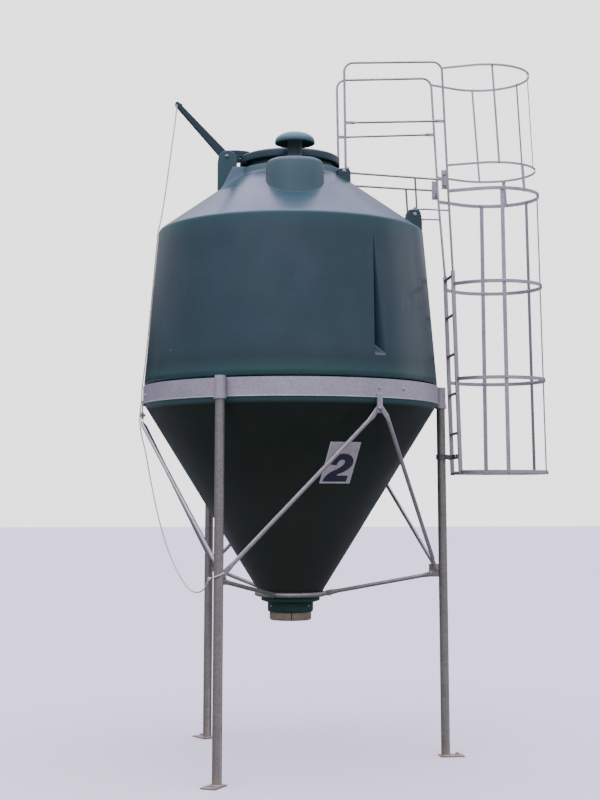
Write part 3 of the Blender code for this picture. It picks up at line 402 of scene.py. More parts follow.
def piece(name, bm, look, body="silo", smooth=35):
    """A finished piece from a mesh, soft at edges up to the smooth angle; NODE.shown replaces that node."""
    bmesh.ops.recalc_face_normals(bm, faces=bm.faces)
    mesh = bpy.data.meshes.new(name)
    bm.to_mesh(mesh)
    bm.free()
    mesh.materials.append(LOOKS[look])
    mesh.shade_smooth()
    mesh.set_sharp_from_angle(angle=math.radians(smooth))
    obj = bpy.data.objects.new(name, mesh)
    bpy.context.scene.collection.objects.link(obj)
    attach(obj, body)
    if name.endswith(".shown"):
        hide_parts(name.removesuffix(".shown"))
    return obj


def rounded(obj, width, segments=2, angle=40):
    """Rounds a piece's edges."""
    bevel = obj.modifiers.new("rounding", "BEVEL")
    bevel.width = width
    bevel.segments = segments
    bevel.limit_method = "ANGLE"
    bevel.angle_limit = math.radians(angle)
    bevel.harden_normals = True
    return obj


def repaint(obj, look, chosen):
    """Gives the faces whose centre is chosen a second look."""
    obj.data.materials.append(LOOKS[look])
    for face in obj.data.polygons:
        if chosen(face.center):
            face.material_index = 1


def dress(node, look, smooth=35, edge=0.0):
    """Shows a node with its corners joined, soft shading and slightly rounded edges."""
    bm = bmesh.new()
    bm.from_mesh(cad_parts[node].data)
    bmesh.ops.remove_doubles(bm, verts=bm.verts, dist=1e-5)
    bmesh.ops.dissolve_limit(bm, angle_limit=math.radians(0.5), verts=bm.verts, edges=bm.edges)
    obj = piece(f"{node}.shown", bm, look, smooth=smooth)
    if edge:
        rounded(obj, edge)
    return obj


def skin(bm, rings, capped=False):
    """Faces between neighbouring rings of points; capped closes the first and the last ring."""
    for ring, other in zip(rings, rings[1:]):
        for index in range(len(ring)):
            after = (index + 1) % len(ring)
            bm.faces.new((ring[index], ring[after], other[after], other[index]))
    if capped:
        bm.faces.new(list(reversed(rings[0])))
        bm.faces.new(rings[-1])


def panel(bm, lines):
    """Faces between neighbouring lines of points."""
    for line, other in zip(lines, lines[1:]):
        for index in range(len(line) - 1):
            bm.faces.new((line[index], line[index + 1], other[index + 1], other[index]))


def ring_round(bm, centre, first, second, radii):
    """Points round a centre in the plane of two directions, one for each radius."""
    ring = []
    for index, radius in enumerate(radii):
        angle = math.tau * index / len(radii)
        ring.append(bm.verts.new(centre + (first * math.cos(angle) + second * math.sin(angle)) * radius))
    return ring


def lathe(bm, profile, columns, centre=(0.0, 0.0), shape=None, closed=False):
    """Turns a profile of (radius, z) round an upright line; shape may change each point."""
    rings = []
    for radius, z in profile:
        ring = []
        for azimuth in columns:
            turn = math.radians(azimuth)
            point = Vector((radius * math.sin(turn), -radius * math.cos(turn), z))
            if shape:
                point = shape(point, radius, azimuth, z)
            ring.append(bm.verts.new(from_axis(centre[0] + point.x, centre[1] + point.y, point.z)))
        rings.append(ring)
    skin(bm, rings + rings[:1] if closed else rings)
    return rings


def all_round(count):
    """Degrees all the way round, in a count of even steps."""
    return [360.0 * step / count for step in range(count)]


def fillet(before, corner, after, radius, steps):
    """Points of an arc that rounds one corner of a profile."""
    before, corner, after = Vector(before), Vector(corner), Vector(after)
    into, away = (before - corner).normalized(), (after - corner).normalized()
    reach = radius / math.tan(into.angle(away) / 2)
    start, end = corner + into * reach, corner + away * reach
    shares = evenly(0.0, 1.0, steps)
    return [tuple(start.lerp(corner, share).lerp(corner.lerp(end, share), share)) for share in shares]


# Rope: the route's points are those of part.py

ROPE_LIFT = (
    (-0.7975, -0.0290, 4.392), (-0.809, -0.033, 4.262), (-0.826, -0.037, 4.120),
    (-0.846, -0.041, 3.950), (-0.868, -0.044, 3.770), (-0.889, -0.046, 3.620),
    (-0.909, -0.046, 3.510),
)
ROPE_RUN = (
    (-0.909, -0.046, 3.5096), (-0.9165, -0.046, 3.470), (-0.934, -0.044, 3.250),
    (-0.952, -0.041, 3.020), (-0.970, -0.038, 2.800), (-0.989, -0.035, 2.580),
    (-1.0045, -0.033, 2.440), (-1.0085, -0.033, 2.350), (-1.0140, -0.034, 2.290),
    (-1.0172, -0.036, 2.240), (-1.0175, -0.041, 2.190), (-1.0060, -0.056, 2.110),
    (-0.976, -0.086, 1.990), (-0.942, -0.138, 1.820), (-0.905, -0.210, 1.650),
    (-0.866, -0.290, 1.500), (-0.824, -0.375, 1.372), (-0.785, -0.455, 1.282),
    (-0.745, -0.540, 1.207), (-0.705, -0.625, 1.150), (-0.665, -0.710, 1.121),
    (-0.628, -0.790, 1.123), (-0.598, -0.855, 1.150), (-0.5768, -0.9083, 1.2007),
)
KNOT_PLACE = from_axis(-0.5735, -0.9165, 1.2085)
LAY_LENGTH = 0.026
ROPE_STEP = 0.004


def smooth_route(points, spacing):
    """Evenly spaced points on a smooth curve through the given points."""
    points = [Vector(point) for point in points]
    ends = [points[0] * 2 - points[1]] + points + [points[-1] * 2 - points[-2]]
    fine = []
    for a, b, c, d in zip(ends, ends[1:], ends[2:], ends[3:]):
        for step in range(24):
            t = step / 24
            curve = b * 2 + (c - a) * t
            curve += (a * 2 - b * 5 + c * 4 - d) * t * t
            curve += (b * 3 - c * 3 + d - a) * t * t * t
            fine.append(curve / 2)
    fine.append(points[-1])
    lengths = [0.0]
    for start, end in zip(fine, fine[1:]):
        lengths.append(lengths[-1] + (end - start).length)
    count = max(2, round(lengths[-1] / spacing) + 1)
    route = []
    index = 0
    for number in range(count):
        target = lengths[-1] * number / (count - 1)
        while index < len(fine) - 2 and lengths[index + 1] < target:
            index += 1
        share = (target - lengths[index]) / (lengths[index + 1] - lengths[index])
        route.append(fine[index].lerp(fine[index + 1], share))
    return route


def laid_rope(name, route, radius=ROPE_R):
    """A three-strand rope along a route: its section has three lobes that wind round."""
    bm = bmesh.new()
    normal = Vector((0.0, 1.0, 0.0))
    rings = []
    travelled = 0.0
    for index, point in enumerate(route):
        before = route[max(index - 1, 0)]
        after = route[min(index + 1, len(route) - 1)]
        along = (after - before).normalized()
        travelled += (point - before).length
        normal = (normal - along * normal.dot(along)).normalized()
        twist = math.tau * travelled / LAY_LENGTH
        lobes = [abs(math.cos(1.5 * (math.radians(angle) - twist))) for angle in all_round(12)]
        radii = [radius * (0.90 + 0.24 * lobe) for lobe in lobes]
        rings.append(ring_round(bm, point, normal, along.cross(normal), radii))
    skin(bm, rings, capped=True)
    return piece(name, bm, "rope_fibre", smooth=75)


def rope_knot(name, place, size):
    """An overhand knot: a short thick rope wound through itself."""
    points = []
    for t in evenly(0.0, math.tau, 48):
        x = math.sin(t) + 2 * math.sin(2 * t)
        y = math.cos(t) - 2 * math.cos(2 * t)
        z = -math.sin(3 * t)
        points.append(place + Vector((x, z * 0.9, y)) * size / 3)
    return laid_rope(name, smooth_route(points, 0.003), ROPE_R * 0.92)


def make_rope():
    axis = from_axis(0.0, 0.0, 0.0)
    lift_route = [axis + point for point in smooth_route(ROPE_LIFT, ROPE_STEP)]
    lift = laid_rope("rope_lift.shown", lift_route)
    run_route = [axis + point for point in smooth_route(ROPE_RUN, ROPE_STEP)]
    run = laid_rope("rope_run.shown", run_route)
    knot = rope_knot("rope_knot", KNOT_PLACE, 0.0085)
    leg = polar(LEG_CIRCLE_R, LEG_AZIMUTHS["a"])
    reach = LEG_R + ROPE_R + 0.0006
    turns = []
    for azimuth, z in zip(evenly(305, 425, 40), evenly(1.214, 1.244, 40)):
        turns.append(leg + outward(azimuth) * reach + Vector((0.0, 0.0, z)))
    start = turns[0] + Vector((-0.010, 0.012, -0.002))
    hitch = laid_rope("rope_hitch.shown", smooth_route([start] + turns, 0.003))
    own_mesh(lift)


make_rope()

# Tank


def groove_columns():
    """Azimuths of the wall's columns, close together round each groove."""
    columns = set(round(2.5 * step, 3) for step in range(144))
    for azimuth in GROOVE_AZIMUTHS:
        columns = {c for c in columns if abs(c - azimuth) > 3.0}
        columns |= {round(azimuth + 0.15 * step, 3) for step in range(-20, 21)}
    return sorted(columns)


def soft_min(first, second, width):
    """The lesser of two lengths, with the corner between them rounded."""
    share = min(1.0, max(0.0, 0.5 + 0.5 * (second - first) / width))
    return second * (1 - share) + first * share - width * share * (1 - share)


def grooved(point, radius, azimuth, z):
    """Sinks a wall point into the nearest groove, and lets the wall wave a little."""
    nearest = min(GROOVE_AZIMUTHS, key=lambda a: abs(azimuth - a))
    offset = math.radians(azimuth - nearest)
    flank = math.cos(offset) - abs(math.sin(offset)) / math.tan(math.radians(GROOVE_HALF_ANGLE))
    reach = radius
    if flank > 0.2 and z < SHOULDER_Z - 0.02:
        groove = GROOVE_ROOT_R / flank
        ledge = (GROOVE_FOOT_Z + GROOVE_FOOT_R - z) / math.cos(offset)
        inner = -soft_min(-groove, -ledge, 0.003)
        reach = soft_min(radius, inner, 0.003)
    wave = noise.noise(Vector((point.x * 1.7, point.y * 1.7, z * 1.3))) * 0.0012
    fade = min(1.0, max(0.0, (SHOULDER_Z - 0.02 - z) / 0.2), max(0.0, (z - STRAIGHT_Z) / 0.2))
    scale = (reach + wave * fade) / radius
    return Vector((point.x * scale, point.y * scale, z))


def moulded_skin(name, bm, look, replaced):
    """A wall of the tank, thickened inwards."""
    obj = piece(name, bm, look, smooth=60)
    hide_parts(*replaced)
    wall = obj.modifiers.new("wall", "SOLIDIFY")
    wall.thickness = SHELL * 0.9
    wall.offset = -1.0


def make_tank():
    """The roof and the wall in one skin, down to the band that stands in the ring."""
    profile = [(r, roof_z(r)) for r in (0.300, 0.34, 0.42, 0.50, 0.58, 0.66, 0.74, 0.80, 0.85, 0.88)]
    profile += fillet(profile[0], (SHOULDER_R, SHOULDER_Z), (WALL_FOOT_R, STRAIGHT_Z), 0.020, 8)
    levels = evenly(3.46, 2.69, 22) + evenly(2.672, 2.570, 17) + [2.54, 2.51, 2.48, 2.45]
    profile += [(wall_r(z), z) for z in levels]
    foot_r = wall_r(2.452)
    curl = [(0.0006, 2.447), (0.0030, 2.442), (0.0075, 2.438), (0.0125, 2.436), (0.0140, 2.430)]
    profile += [(foot_r - inset, z) for inset, z in curl + [(0.0140, 2.410), (0.006, 2.400)]]
    profile += [(SEAT_R, 2.390), (SEAT_R, 2.345)]
    bm = bmesh.new()
    lathe(bm, profile, groove_columns(), shape=grooved)
    moulded_skin("tank_skin", bm, "tank_shell", ("tank_wall", "tank_roof"))


def waved(point, radius, azimuth, z):
    """Lets the hopper wave inwards a little, away from its ends."""
    wave = noise.noise(Vector((point.x * 2.2, point.y * 2.2, z * 2.0))) * 0.0016
    fade = min(1.0, max(0.0, (z - 1.10) / 0.15), max(0.0, (2.28 - z) / 0.12))
    scale = (radius + min(wave, 0.0) * fade) / radius
    return Vector((point.x * scale, point.y * scale, z))


def make_hopper():
    head = (SEAT_R, 2.3449)
    corner = (SEAT_R, WALL_FOOT_Z + (SEAT_R - CONE_TOP_R) / CONE_SLOPE)
    profile = [head] + fillet(head, corner, (cone_r(2.20), 2.20), 0.030, 6)
    profile += [(cone_r(z), z) for z in [2.225, 2.20] + evenly(2.16, 1.12, 13) + [1.06, CONE_FOOT_Z]]
    bm = bmesh.new()
    lathe(bm, profile, all_round(144), shape=waved)
    moulded_skin("hopper_skin", bm, "hopper_shell", ("tank_hopper",))


make_tank()
make_hopper()
dress("outlet_flange", "outlet_flange_shell", edge=0.003)
dress("outlet_collar", "outlet_shell", edge=0.003)
dress("outlet_ring", "spout_steel", edge=0.002)

# Stand

dress("ring_band", "galvanised", edge=STAND_EDGE)
dress("ladder_clamp", "dull_steel", edge=STAND_EDGE)
ladder = dress("ladder", "galvanised_brace", edge=STAND_EDGE)
repaint(ladder, "dull_steel", lambda centre: abs(centre.y) < 0.127)
for letter in "abc":
    dress(f"leg_{letter}", "shaded_zinc_tube", edge=STAND_EDGE)
    dress(f"strut_{letter}", "shaded_zinc_tube", smooth=50)
for tab in TAB_AZIMUTHS:
    for letter in tab:
        dress(f"brace_{tab}_to_{letter}", "galvanised_brace", smooth=50)
dress("hopper_hoop", "shaded_zinc_tube", smooth=80)

# Cage and rails


def on_mid_rail(centre):
    return 4.230 < centre.z < 4.290 and 0.375 < centre.x - AXIS_X < 1.030


cage = [f"hoop_{number}" for number in range(1, 7)]
cage += [f"bar_{part}_{number}" for number in range(1, 5) for part in ("lower", "upper")]
for name in cage + ["link_1", "link_2"]:
    dress(f"cage_{name}", "cage_steel", edge=CAGE_EDGE)
for side in ("near", "far"):
    rail = dress(f"handrail_{side}", "cage_steel", smooth=50)
    repaint(rail, "shaded_zinc_tube", on_mid_rail)
    stay = dress(f"roof_stay_{side}", "shaded_zinc_tube", smooth=50)
    repaint(stay, "galvanised", lambda centre: centre.z < 3.68)

# Roof


def flat_piece(bm, outline, y, half):
    """A flat outline of (x, z), measured from the tank's axis, as an upright plate."""
    near, far = [[bm.verts.new(from_axis(x, y + way * half, z)) for x, z in outline] for way in (-1, 1)]
    skin(bm, [far, near], capped=True)


def arc_points(centre, radius, start, end, steps):
    angles = [math.radians(angle) for angle in evenly(start, end, steps)]
    return [(centre[0] + radius * math.cos(a), centre[1] + radius * math.sin(a)) for a in angles]


def make_collar():
    """The filling neck, its step and the skirt that runs out onto the roof."""
    skirt_r = COLLAR_STEP_R + 0.012
    corners = [(ROOF_HOLE_R, 3.93), (ROOF_HOLE_R, NECK_TOP), (NECK_R, NECK_TOP), (NECK_R, COLLAR_STEP_Z)]
    corners += [(COLLAR_STEP_R, COLLAR_STEP_Z), (skirt_r, roof_z(skirt_r)), (0.440, roof_z(0.440) - 0.0012)]
    profile = [corners[0]]
    radii = (0.003, 0.004, 0.008, 0.010, 0.030)
    for before, corner, after, radius in zip(corners, corners[1:], corners[2:], radii):
        profile += fillet(before, corner, after, radius, 5)
    profile += [corners[-1], (0.445, roof_z(0.445) - 0.006)]
    bm = bmesh.new()
    lathe(bm, profile, all_round(120))
    piece("roof_collar.shown", bm, "moulded_fitting", smooth=60)


def make_turret():
    """The round boss that carries the vent, blended into the roof."""
    axis = from_axis(TURRET_X, TURRET_Y, 0.0)

    def roof_under(radius, azimuth):
        place = axis + outward(azimuth) * radius
        return roof_z(math.hypot(place.x - AXIS_X, place.y))

    side_top = Vector((0.1905, 3.866))
    top = [(0.0001, TURRET_TOP), (0.07, TURRET_TOP - 0.0003), (0.12, TURRET_TOP - 0.001)]
    top += fillet(top[-1], (0.186, TURRET_TOP - 0.003), (0.192, 3.80), 0.036, 8)
    flare_r = TURRET_FOOT_R + 0.018
    columns = []
    for azimuth in all_round(120):
        foot = min(roof_under(TURRET_FOOT_R, azimuth), 3.835)
        end = min(roof_under(flare_r, azimuth) - 0.0008, 3.834)
        start = foot + 0.022
        side = [side_top.lerp(Vector((0.1925, start)), share) for share in (0.25, 0.50, 0.75)]
        blend = fillet((TURRET_FOOT_R, start), (TURRET_FOOT_R, foot), (flare_r, end), 0.002, 8)
        columns.append(top + side + blend + [(flare_r, end), (flare_r + 0.004, end - 0.010)])
    bm = bmesh.new()
    rings = []
    for level in zip(*columns):
        ring = []
        for azimuth, (radius, z) in zip(all_round(120), level):
            ring.append(bm.verts.new(axis + outward(azimuth) * radius + Vector((0.0, 0.0, z))))
        rings.append(ring)
    skin(bm, rings)
    bmesh.ops.remove_doubles(bm, verts=rings[0], dist=0.001)
    # The turret takes the lighter copy of the fitting plastic: painted light.
    piece("vent_turret.shown", bm, "painted_light_fitting", smooth=60)


def under_cap(centre):
    reach = math.hypot(centre.x - AXIS_X - TURRET_X, centre.y - TURRET_Y)
    return centre.z < CAP_RIM_Z + 0.020 and reach < CAP_R - 0.010


def make_cap():
    """The mushroom cap of the vent and its stem."""
    edge_z = CAP_RIM_Z + 0.014
    profile = [(0.0002, CAP_TOP_Z)]
    for turn in evenly(math.radians(10), math.radians(80), 7):
        profile.append((CAP_R * math.sin(turn) ** 0.92, edge_z + (CAP_TOP_Z - edge_z) * math.cos(turn)))
    rim = ((0.0, 0.014), (0.0008, 0.004), (-0.001, 0.0), (-0.006, -0.002), (-0.010, 0.004))
    profile += [(CAP_R + out, CAP_RIM_Z + z) for out, z in rim]
    profile += [(0.09, CAP_RIM_Z + 0.016), (STEM_R + 0.006, CAP_RIM_Z + 0.018), (STEM_R, CAP_RIM_Z + 0.010)]
    profile += [(STEM_R + out, TURRET_TOP + z) for out, z in ((0.0, 0.008), (0.001, 0.003), (0.006, -0.001))]
    bm = bmesh.new()
    rings = lathe(bm, profile, all_round(96), (TURRET_X, TURRET_Y))
    bmesh.ops.remove_doubles(bm, verts=rings[0], dist=0.001)
    cap = piece("vent_cap.shown", bm, "moulded_cap", smooth=50)
    repaint(cap, "shaded_fitting", under_cap)


def make_lid():
    """The lid as a profile of (radius, z): its crown from the middle out, its rim, and its inside back in."""
    crown = [(0.0002, 0.018), (0.080, 0.0165), (0.160, 0.012), (0.290, -0.003), (0.306, -0.002)]
    crown += [(0.314, 0.001), (0.322, 0.002), (0.334, 0.001), (0.342, -0.003)]
    crown += [(LID_R - 0.0015, -0.008), (LID_R, -0.014)]
    rim = ((0.0, 0.010), (0.0, 0.003), (0.003, 0.0), (0.007, 0.0), (0.009, 0.003))
    inside = [(LID_R - 0.010, -0.012), (LID_R - 0.013, -0.003), (LID_R - 0.022, 0.0)]
    inside += [(0.290, 0.0), (0.160, 0.012), (0.0002, 0.018)]
    profile = [(r, LID_TOP_Z + z) for r, z in crown]
    profile += [(LID_R - inset, LID_RIM_Z + z) for inset, z in rim]
    profile += [(r, LID_INNER_Z + z) for r, z in inside]
    bm = bmesh.new()
    rings = lathe(bm, profile, all_round(120), (LID_X, 0.0))
    for ring in (rings[0], rings[-1]):
        bmesh.ops.remove_doubles(bm, verts=ring, dist=0.001)
    piece("lid.shown", bm, "moulded_lid", body="lid", smooth=50)


def make_hinge():
    """The two moulded cheeks and the web between them."""
    foot_z, web_top = 3.74, 3.915
    left, right = CHEEK_CENTRE[0] - CHEEK_R, CHEEK_CENTRE[0] + CHEEK_R
    cheek = arc_points(CHEEK_CENTRE, CHEEK_R, 0, 180, 24) + [(left, foot_z), (right, foot_z)]
    bm = bmesh.new()
    for way in (-1, 1):
        flat_piece(bm, cheek, way * 0.046, 0.016)
    left, right = left + 0.001, right - 0.001
    flat_piece(bm, [(left, foot_z), (right, foot_z), (right, web_top), (left, web_top)], 0.0, 0.031)
    rounded(piece("hinge_lug.shown", bm, "moulded_fitting"), 0.005, 3)


def make_shelf():
    """The shelf under the cheeks, which flows into the roof."""
    cell = 0.006
    drop = SHELF_TOP_Z - 3.700
    half_width, front_run = 0.120, 0.125
    left_edge, left_run = -0.412, 0.108
    lines = []
    bm = bmesh.new()
    for row in range(54):
        x = -0.620 + cell * row
        line = []
        for column in range(121):
            y = -0.360 + cell * column
            roof = roof_z(math.hypot(x, y)) - 0.0015
            front = SHELF_TOP_Z - (abs(y) - half_width) * drop / front_run
            left = SHELF_TOP_Z - (left_edge - x) * drop / left_run
            shelf = soft_min(soft_min(front, left, 0.020), SHELF_TOP_Z, 0.010)
            z = roof - 0.004 if shelf < roof - 0.030 else -soft_min(-roof, -shelf, 0.030)
            line.append(bm.verts.new(from_axis(x, y, z)))
        lines.append(line)
    panel(bm, lines)
    piece("hinge_shelf", bm, "moulded_shelf", smooth=80)


def make_lever():
    """The arm of the lid with its long lever, and the nub at the lever's tip that holds the rope."""
    turn = math.radians(LEVER_RISE)
    along, up = Vector((math.cos(turn), math.sin(turn))), Vector((math.sin(turn), -math.cos(turn)))
    tip = Vector(PIVOT) + along * LEVER_LENGTH
    rim = LID_X - LID_R - GAP - 0.0002
    arm_z = LID_TOP_Z + 0.0026
    outline = [(PIVOT[0] + 0.036, 3.996), (rim, 3.996), (rim, arm_z), (-0.265, arm_z)]
    outline += [(-0.265, 4.050), (-0.300, 4.074), (-0.380, 4.080), (-0.4565, 4.0765)]
    outline += arc_points(tip, 0.0165, LEVER_RISE - 90, LEVER_RISE + 90, 10)
    outline += arc_points(PIVOT, 0.030, LEVER_RISE + 90, LEVER_RISE + 170, 8)
    bm = bmesh.new()
    flat_piece(bm, outline, 0.0, 0.024)
    rounded(piece("lid_lever.shown", bm, "moulded_lid", "lid"), 0.004, 3)
    corners = ((-0.034, 0.011), (-0.006, 0.011), (-0.010, 0.024), (-0.030, 0.024))
    bm = bmesh.new()
    flat_piece(bm, [tip + along * u + up * v for u, v in corners], 0.0, 0.018)
    rounded(piece("lever_nub", bm, "moulded_fitting", "lid"), 0.003)


def make_lugs():
    """The moulded lugs on the roof that carry the rails."""
    inner = [(0.302, 3.77), (0.392, 3.77), (0.392, 3.895), (0.384, 3.915), (0.370, 3.9225), (0.322, 3.9225)]
    inner += [(0.308, 3.916), (0.302, 3.900)]
    shoulder = [(0.765, 3.47), (0.885, 3.44), (0.885, 3.558), (0.881, 3.603), (0.874, 3.630), (0.866, 3.643)]
    shoulder += [(0.855, 3.648), (0.812, 3.648), (0.796, 3.644), (0.785, 3.635), (0.774, 3.608)]
    for name, way in (("near", -1), ("far", 1)):
        for kind, outline, y in (("inner", inner, 0.200), ("shoulder", shoulder, 0.185)):
            bm = bmesh.new()
            flat_piece(bm, outline, way * y, 0.028)
            lug = piece(f"{kind}_lug_{name}.shown", bm, "shaded_fitting")
            rounded(lug, 0.009, 3, 30)


make_collar()
make_turret()
make_cap()
make_lid()
make_hinge()
make_shelf()
make_lever()
make_lugs()
dress("hinge_pin", "bolt_steel", edge=0.001)

# Sheet with a number, bent to the hopper

PLATE_TOP_Z = 2.038
PLATE_AZIMUTH = 20.3
PLATE_W = 0.216
PLATE_L = 0.303
# Outline of the figure: share of the sheet's width from its left, and of its length from its top
FIGURE = (
    (0.20, 0.55), (0.22, 0.44), (0.29, 0.35), (0.39, 0.295), (0.51, 0.275), (0.65, 0.29), (0.79, 0.33),
    (0.87, 0.39), (0.92, 0.465), (0.915, 0.55), (0.86, 0.61), (0.76, 0.68), (0.64, 0.735), (0.50, 0.775),
    (0.47, 0.81), (0.86, 0.81), (0.845, 0.955), (0.07, 0.955), (0.095, 0.87), (0.16, 0.79), (0.27, 0.715),
    (0.42, 0.66), (0.54, 0.595), (0.61, 0.54), (0.635, 0.485), (0.605, 0.44), (0.53, 0.42), (0.455, 0.44),
    (0.40, 0.50), (0.385, 0.56),
)


def on_sheet(across, down, lift):
    """A place on the sheet, where across and down run from 0 to 1."""
    z = PLATE_TOP_Z - down * PLATE_L / math.hypot(1.0, CONE_SLOPE)
    radius = cone_r(z) + lift
    swing = math.degrees((across - 0.5) * PLATE_W / radius)
    return polar(radius, PLATE_AZIMUTH + swing, z)


def sheet_patch(bm, low, high, lift, thick):
    """A bent rectangle of the sheet with a thickness."""
    columns, rows = 12, 6
    sides = []
    for height in (lift, lift + thick):
        grid = []
        for down in evenly(low[1], high[1], rows):
            places = [on_sheet(across, down, height) for across in evenly(low[0], high[0], columns)]
            grid.append([bm.verts.new(place) for place in places])
        panel(bm, grid)
        sides.append(grid)
    inner, outer = sides
    rim = [(0, c) for c in range(columns)] + [(r, columns) for r in range(rows)]
    rim += [(rows, c) for c in range(columns, 0, -1)] + [(r, 0) for r in range(rows, 0, -1)]
    skin(bm, [[inner[r][c] for r, c in rim], [outer[r][c] for r, c in rim]])


def make_sheet():
    """The sheet in its clear rim, and the printed figure."""
    bm = bmesh.new()
    sheet_patch(bm, (0.0, 0.0), (1.0, 1.0), 0.0008, 0.0016)
    piece("number_plate.shown", bm, "laminate_rim")
    bm = bmesh.new()
    sheet_patch(bm, (0.035, 0.025), (0.965, 0.975), 0.0024, 0.0003)
    piece("plate_sheet", bm, "white_plate")
    bm = bmesh.new()
    figure = bm.faces.new([bm.verts.new((across, down, 0.0)) for across, down in FIGURE])
    bm.normal_update()
    bmesh.ops.triangulate(bm, faces=[figure])
    bmesh.ops.subdivide_edges(bm, edges=bm.edges, cuts=7, use_grid_fill=True)
    for vert in bm.verts:
        vert.co = on_sheet(vert.co.x, vert.co.y, 0.0034)
    piece("plate_figure", bm, "plate_print")


make_sheet()

# Fasteners and welds

# Bolts and nuts: width across the flats, depth, and the washer's diameter, or 0 for none
TAB_BOLT = (0.019, 0.008, 0.030)
TAB_NUT = (0.019, 0.008, 0.026)
KNEE_BOLT = (0.014, 0.007, 0.020)
STRUT_BOLT = (0.013, 0.006, 0.018)
ANCHOR = (0.024, 0.014, 0.036)
SMALL_BOLT = (0.013, 0.006, 0.020)
RING_STUD = (0.014, 0.004, 0.0)
CLAMP_BOLT = (0.017, 0.008, 0.024)
FLANGE_BOLT = (0.012, 0.006, 0.0)
HOOP_BOLT = (0.011, 0.005, 0.0)
HOOP_NUT = (0.011, 0.005, 0.016)
TOP_HOOP_BOLT = (0.009, 0.0045, 0.0)


def hex_bolt(bm, place, axis, across, depth, washer):
    """A hexagon head with a chamfered top on a washer; axis points away from the seat."""
    place, axis = Vector(place), Vector(axis).normalized()
    first = axis.orthogonal().normalized()
    second = axis.cross(first)

    def turned(sides, *levels):
        rings = [ring_round(bm, place + axis * z, first, second, [r] * sides) for r, z in levels]
        skin(bm, rings, capped=True)

    if washer:
        turned(16, (washer / 2, -0.0004), (washer / 2, 0.0016), (washer / 2 - 0.0008, 0.0024))
    reach = across / 2 / math.cos(math.pi / 6)
    turned(6, (reach, 0.0018), (reach, depth - 0.0010), (reach * 0.86, depth))
    shank = across * 0.28
    turned(10, (shank, depth - 0.001), (shank, depth + 0.004), (shank * 0.8, depth + 0.005))


def bolt_through(bm, place, way, head, nut, size, nut_size=None):
    """A bolt whose head lies so far along a way from a place, and whose nut lies so far the other way."""
    hex_bolt(bm, place + way * head, way, *size)
    hex_bolt(bm, place - way * nut, -way, *(nut_size or size))


def make_stand_bolts():
    bm = bmesh.new()
    for azimuth in TAB_AZIMUTHS.values():
        bolt_through(bm, polar(RING_R, azimuth, 2.240), outward(azimuth), 0.0103, 0.0065, TAB_BOLT, TAB_NUT)
    for azimuth in LEG_AZIMUTHS.values():
        tangent = outward(azimuth + 90)
        knee = polar(LEG_CIRCLE_R - 0.050, azimuth, 1.230)
        bolt_through(bm, knee, tangent, 0.0070, 0.0070, KNEE_BOLT)
        seat = polar(LEG_CIRCLE_R - 0.0835, azimuth, 1.1865)
        bolt_through(bm, seat, tangent, 0.0027, 0.0070, STRUT_BOLT)
        hex_bolt(bm, polar(LEG_CIRCLE_R + 0.078, azimuth, 0.0082), (0, 0, 1), *ANCHOR)
    for azimuth, z, size in (
        (40.8, 2.374, SMALL_BOLT),
        (28.7, 2.368, RING_STUD),
        (-79.2, 2.362, SMALL_BOLT),
        (160.8, 2.362, SMALL_BOLT),
    ):
        hex_bolt(bm, polar(RING_R + 0.0002, azimuth, z), outward(azimuth), *size)
    for y in (-0.120, 0.120):
        hex_bolt(bm, from_axis(1.1130, y, 1.967), (-1, 0, 0), *CLAMP_BOLT)
    for azimuth in (-59, 45, 121, -135):
        hex_bolt(bm, polar(0.1518, azimuth, 0.987), outward(azimuth), *FLANGE_BOLT)
    piece("stand_bolts", bm, "bolt_steel", smooth=30)


def slab(bm, centre, along, across, size):
    """A block whose length, thickness and height lie along a level line, across it and up."""
    length, thickness, height = size
    rings = []
    for z in (-height / 2, height / 2):
        ring = []
        for u, v in ((-1, -1), (1, -1), (1, 1), (-1, 1)):
            offset = along * u * length / 2 + across * v * thickness / 2 + Vector((0.0, 0.0, z))
            ring.append(bm.verts.new(centre + offset))
        rings.append(ring)
    skin(bm, rings, capped=True)


def make_hoop_tabs():
    """The flat tabs on the round hoop that the struts are bolted to."""
    bm = bmesh.new()
    hoop_low, hoop_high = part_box("hopper_hoop")
    reach = (hoop_high.y - hoop_low.y) / 2
    for azimuth in LEG_AZIMUTHS.values():
        tangent = outward(azimuth - 90)
        middle = polar(reach + 0.012, azimuth, 1.064)
        slab(bm, middle + tangent * 0.0055, outward(azimuth), tangent, (0.040, 0.006, 0.036))
        bolt_through(bm, middle + outward(azimuth) * 0.006, tangent, 0.0086, 0.0022, STRUT_BOLT)
    piece("hoop_tabs", bm, "shaded_zinc_tube", smooth=30)


def bead(bm, route, radius):
    """A rippled weld along a route."""
    rings = []
    for index, point in enumerate(route):
        before, after = route[max(index - 1, 0)], route[min(index + 1, len(route) - 1)]
        along = (after - before).normalized()
        first = along.orthogonal().normalized()
        size = radius * (1.0 + 0.18 * math.sin(index * 2.1))
        rings.append(ring_round(bm, point, first, along.cross(first), [size] * 6))
    skin(bm, rings, capped=True)


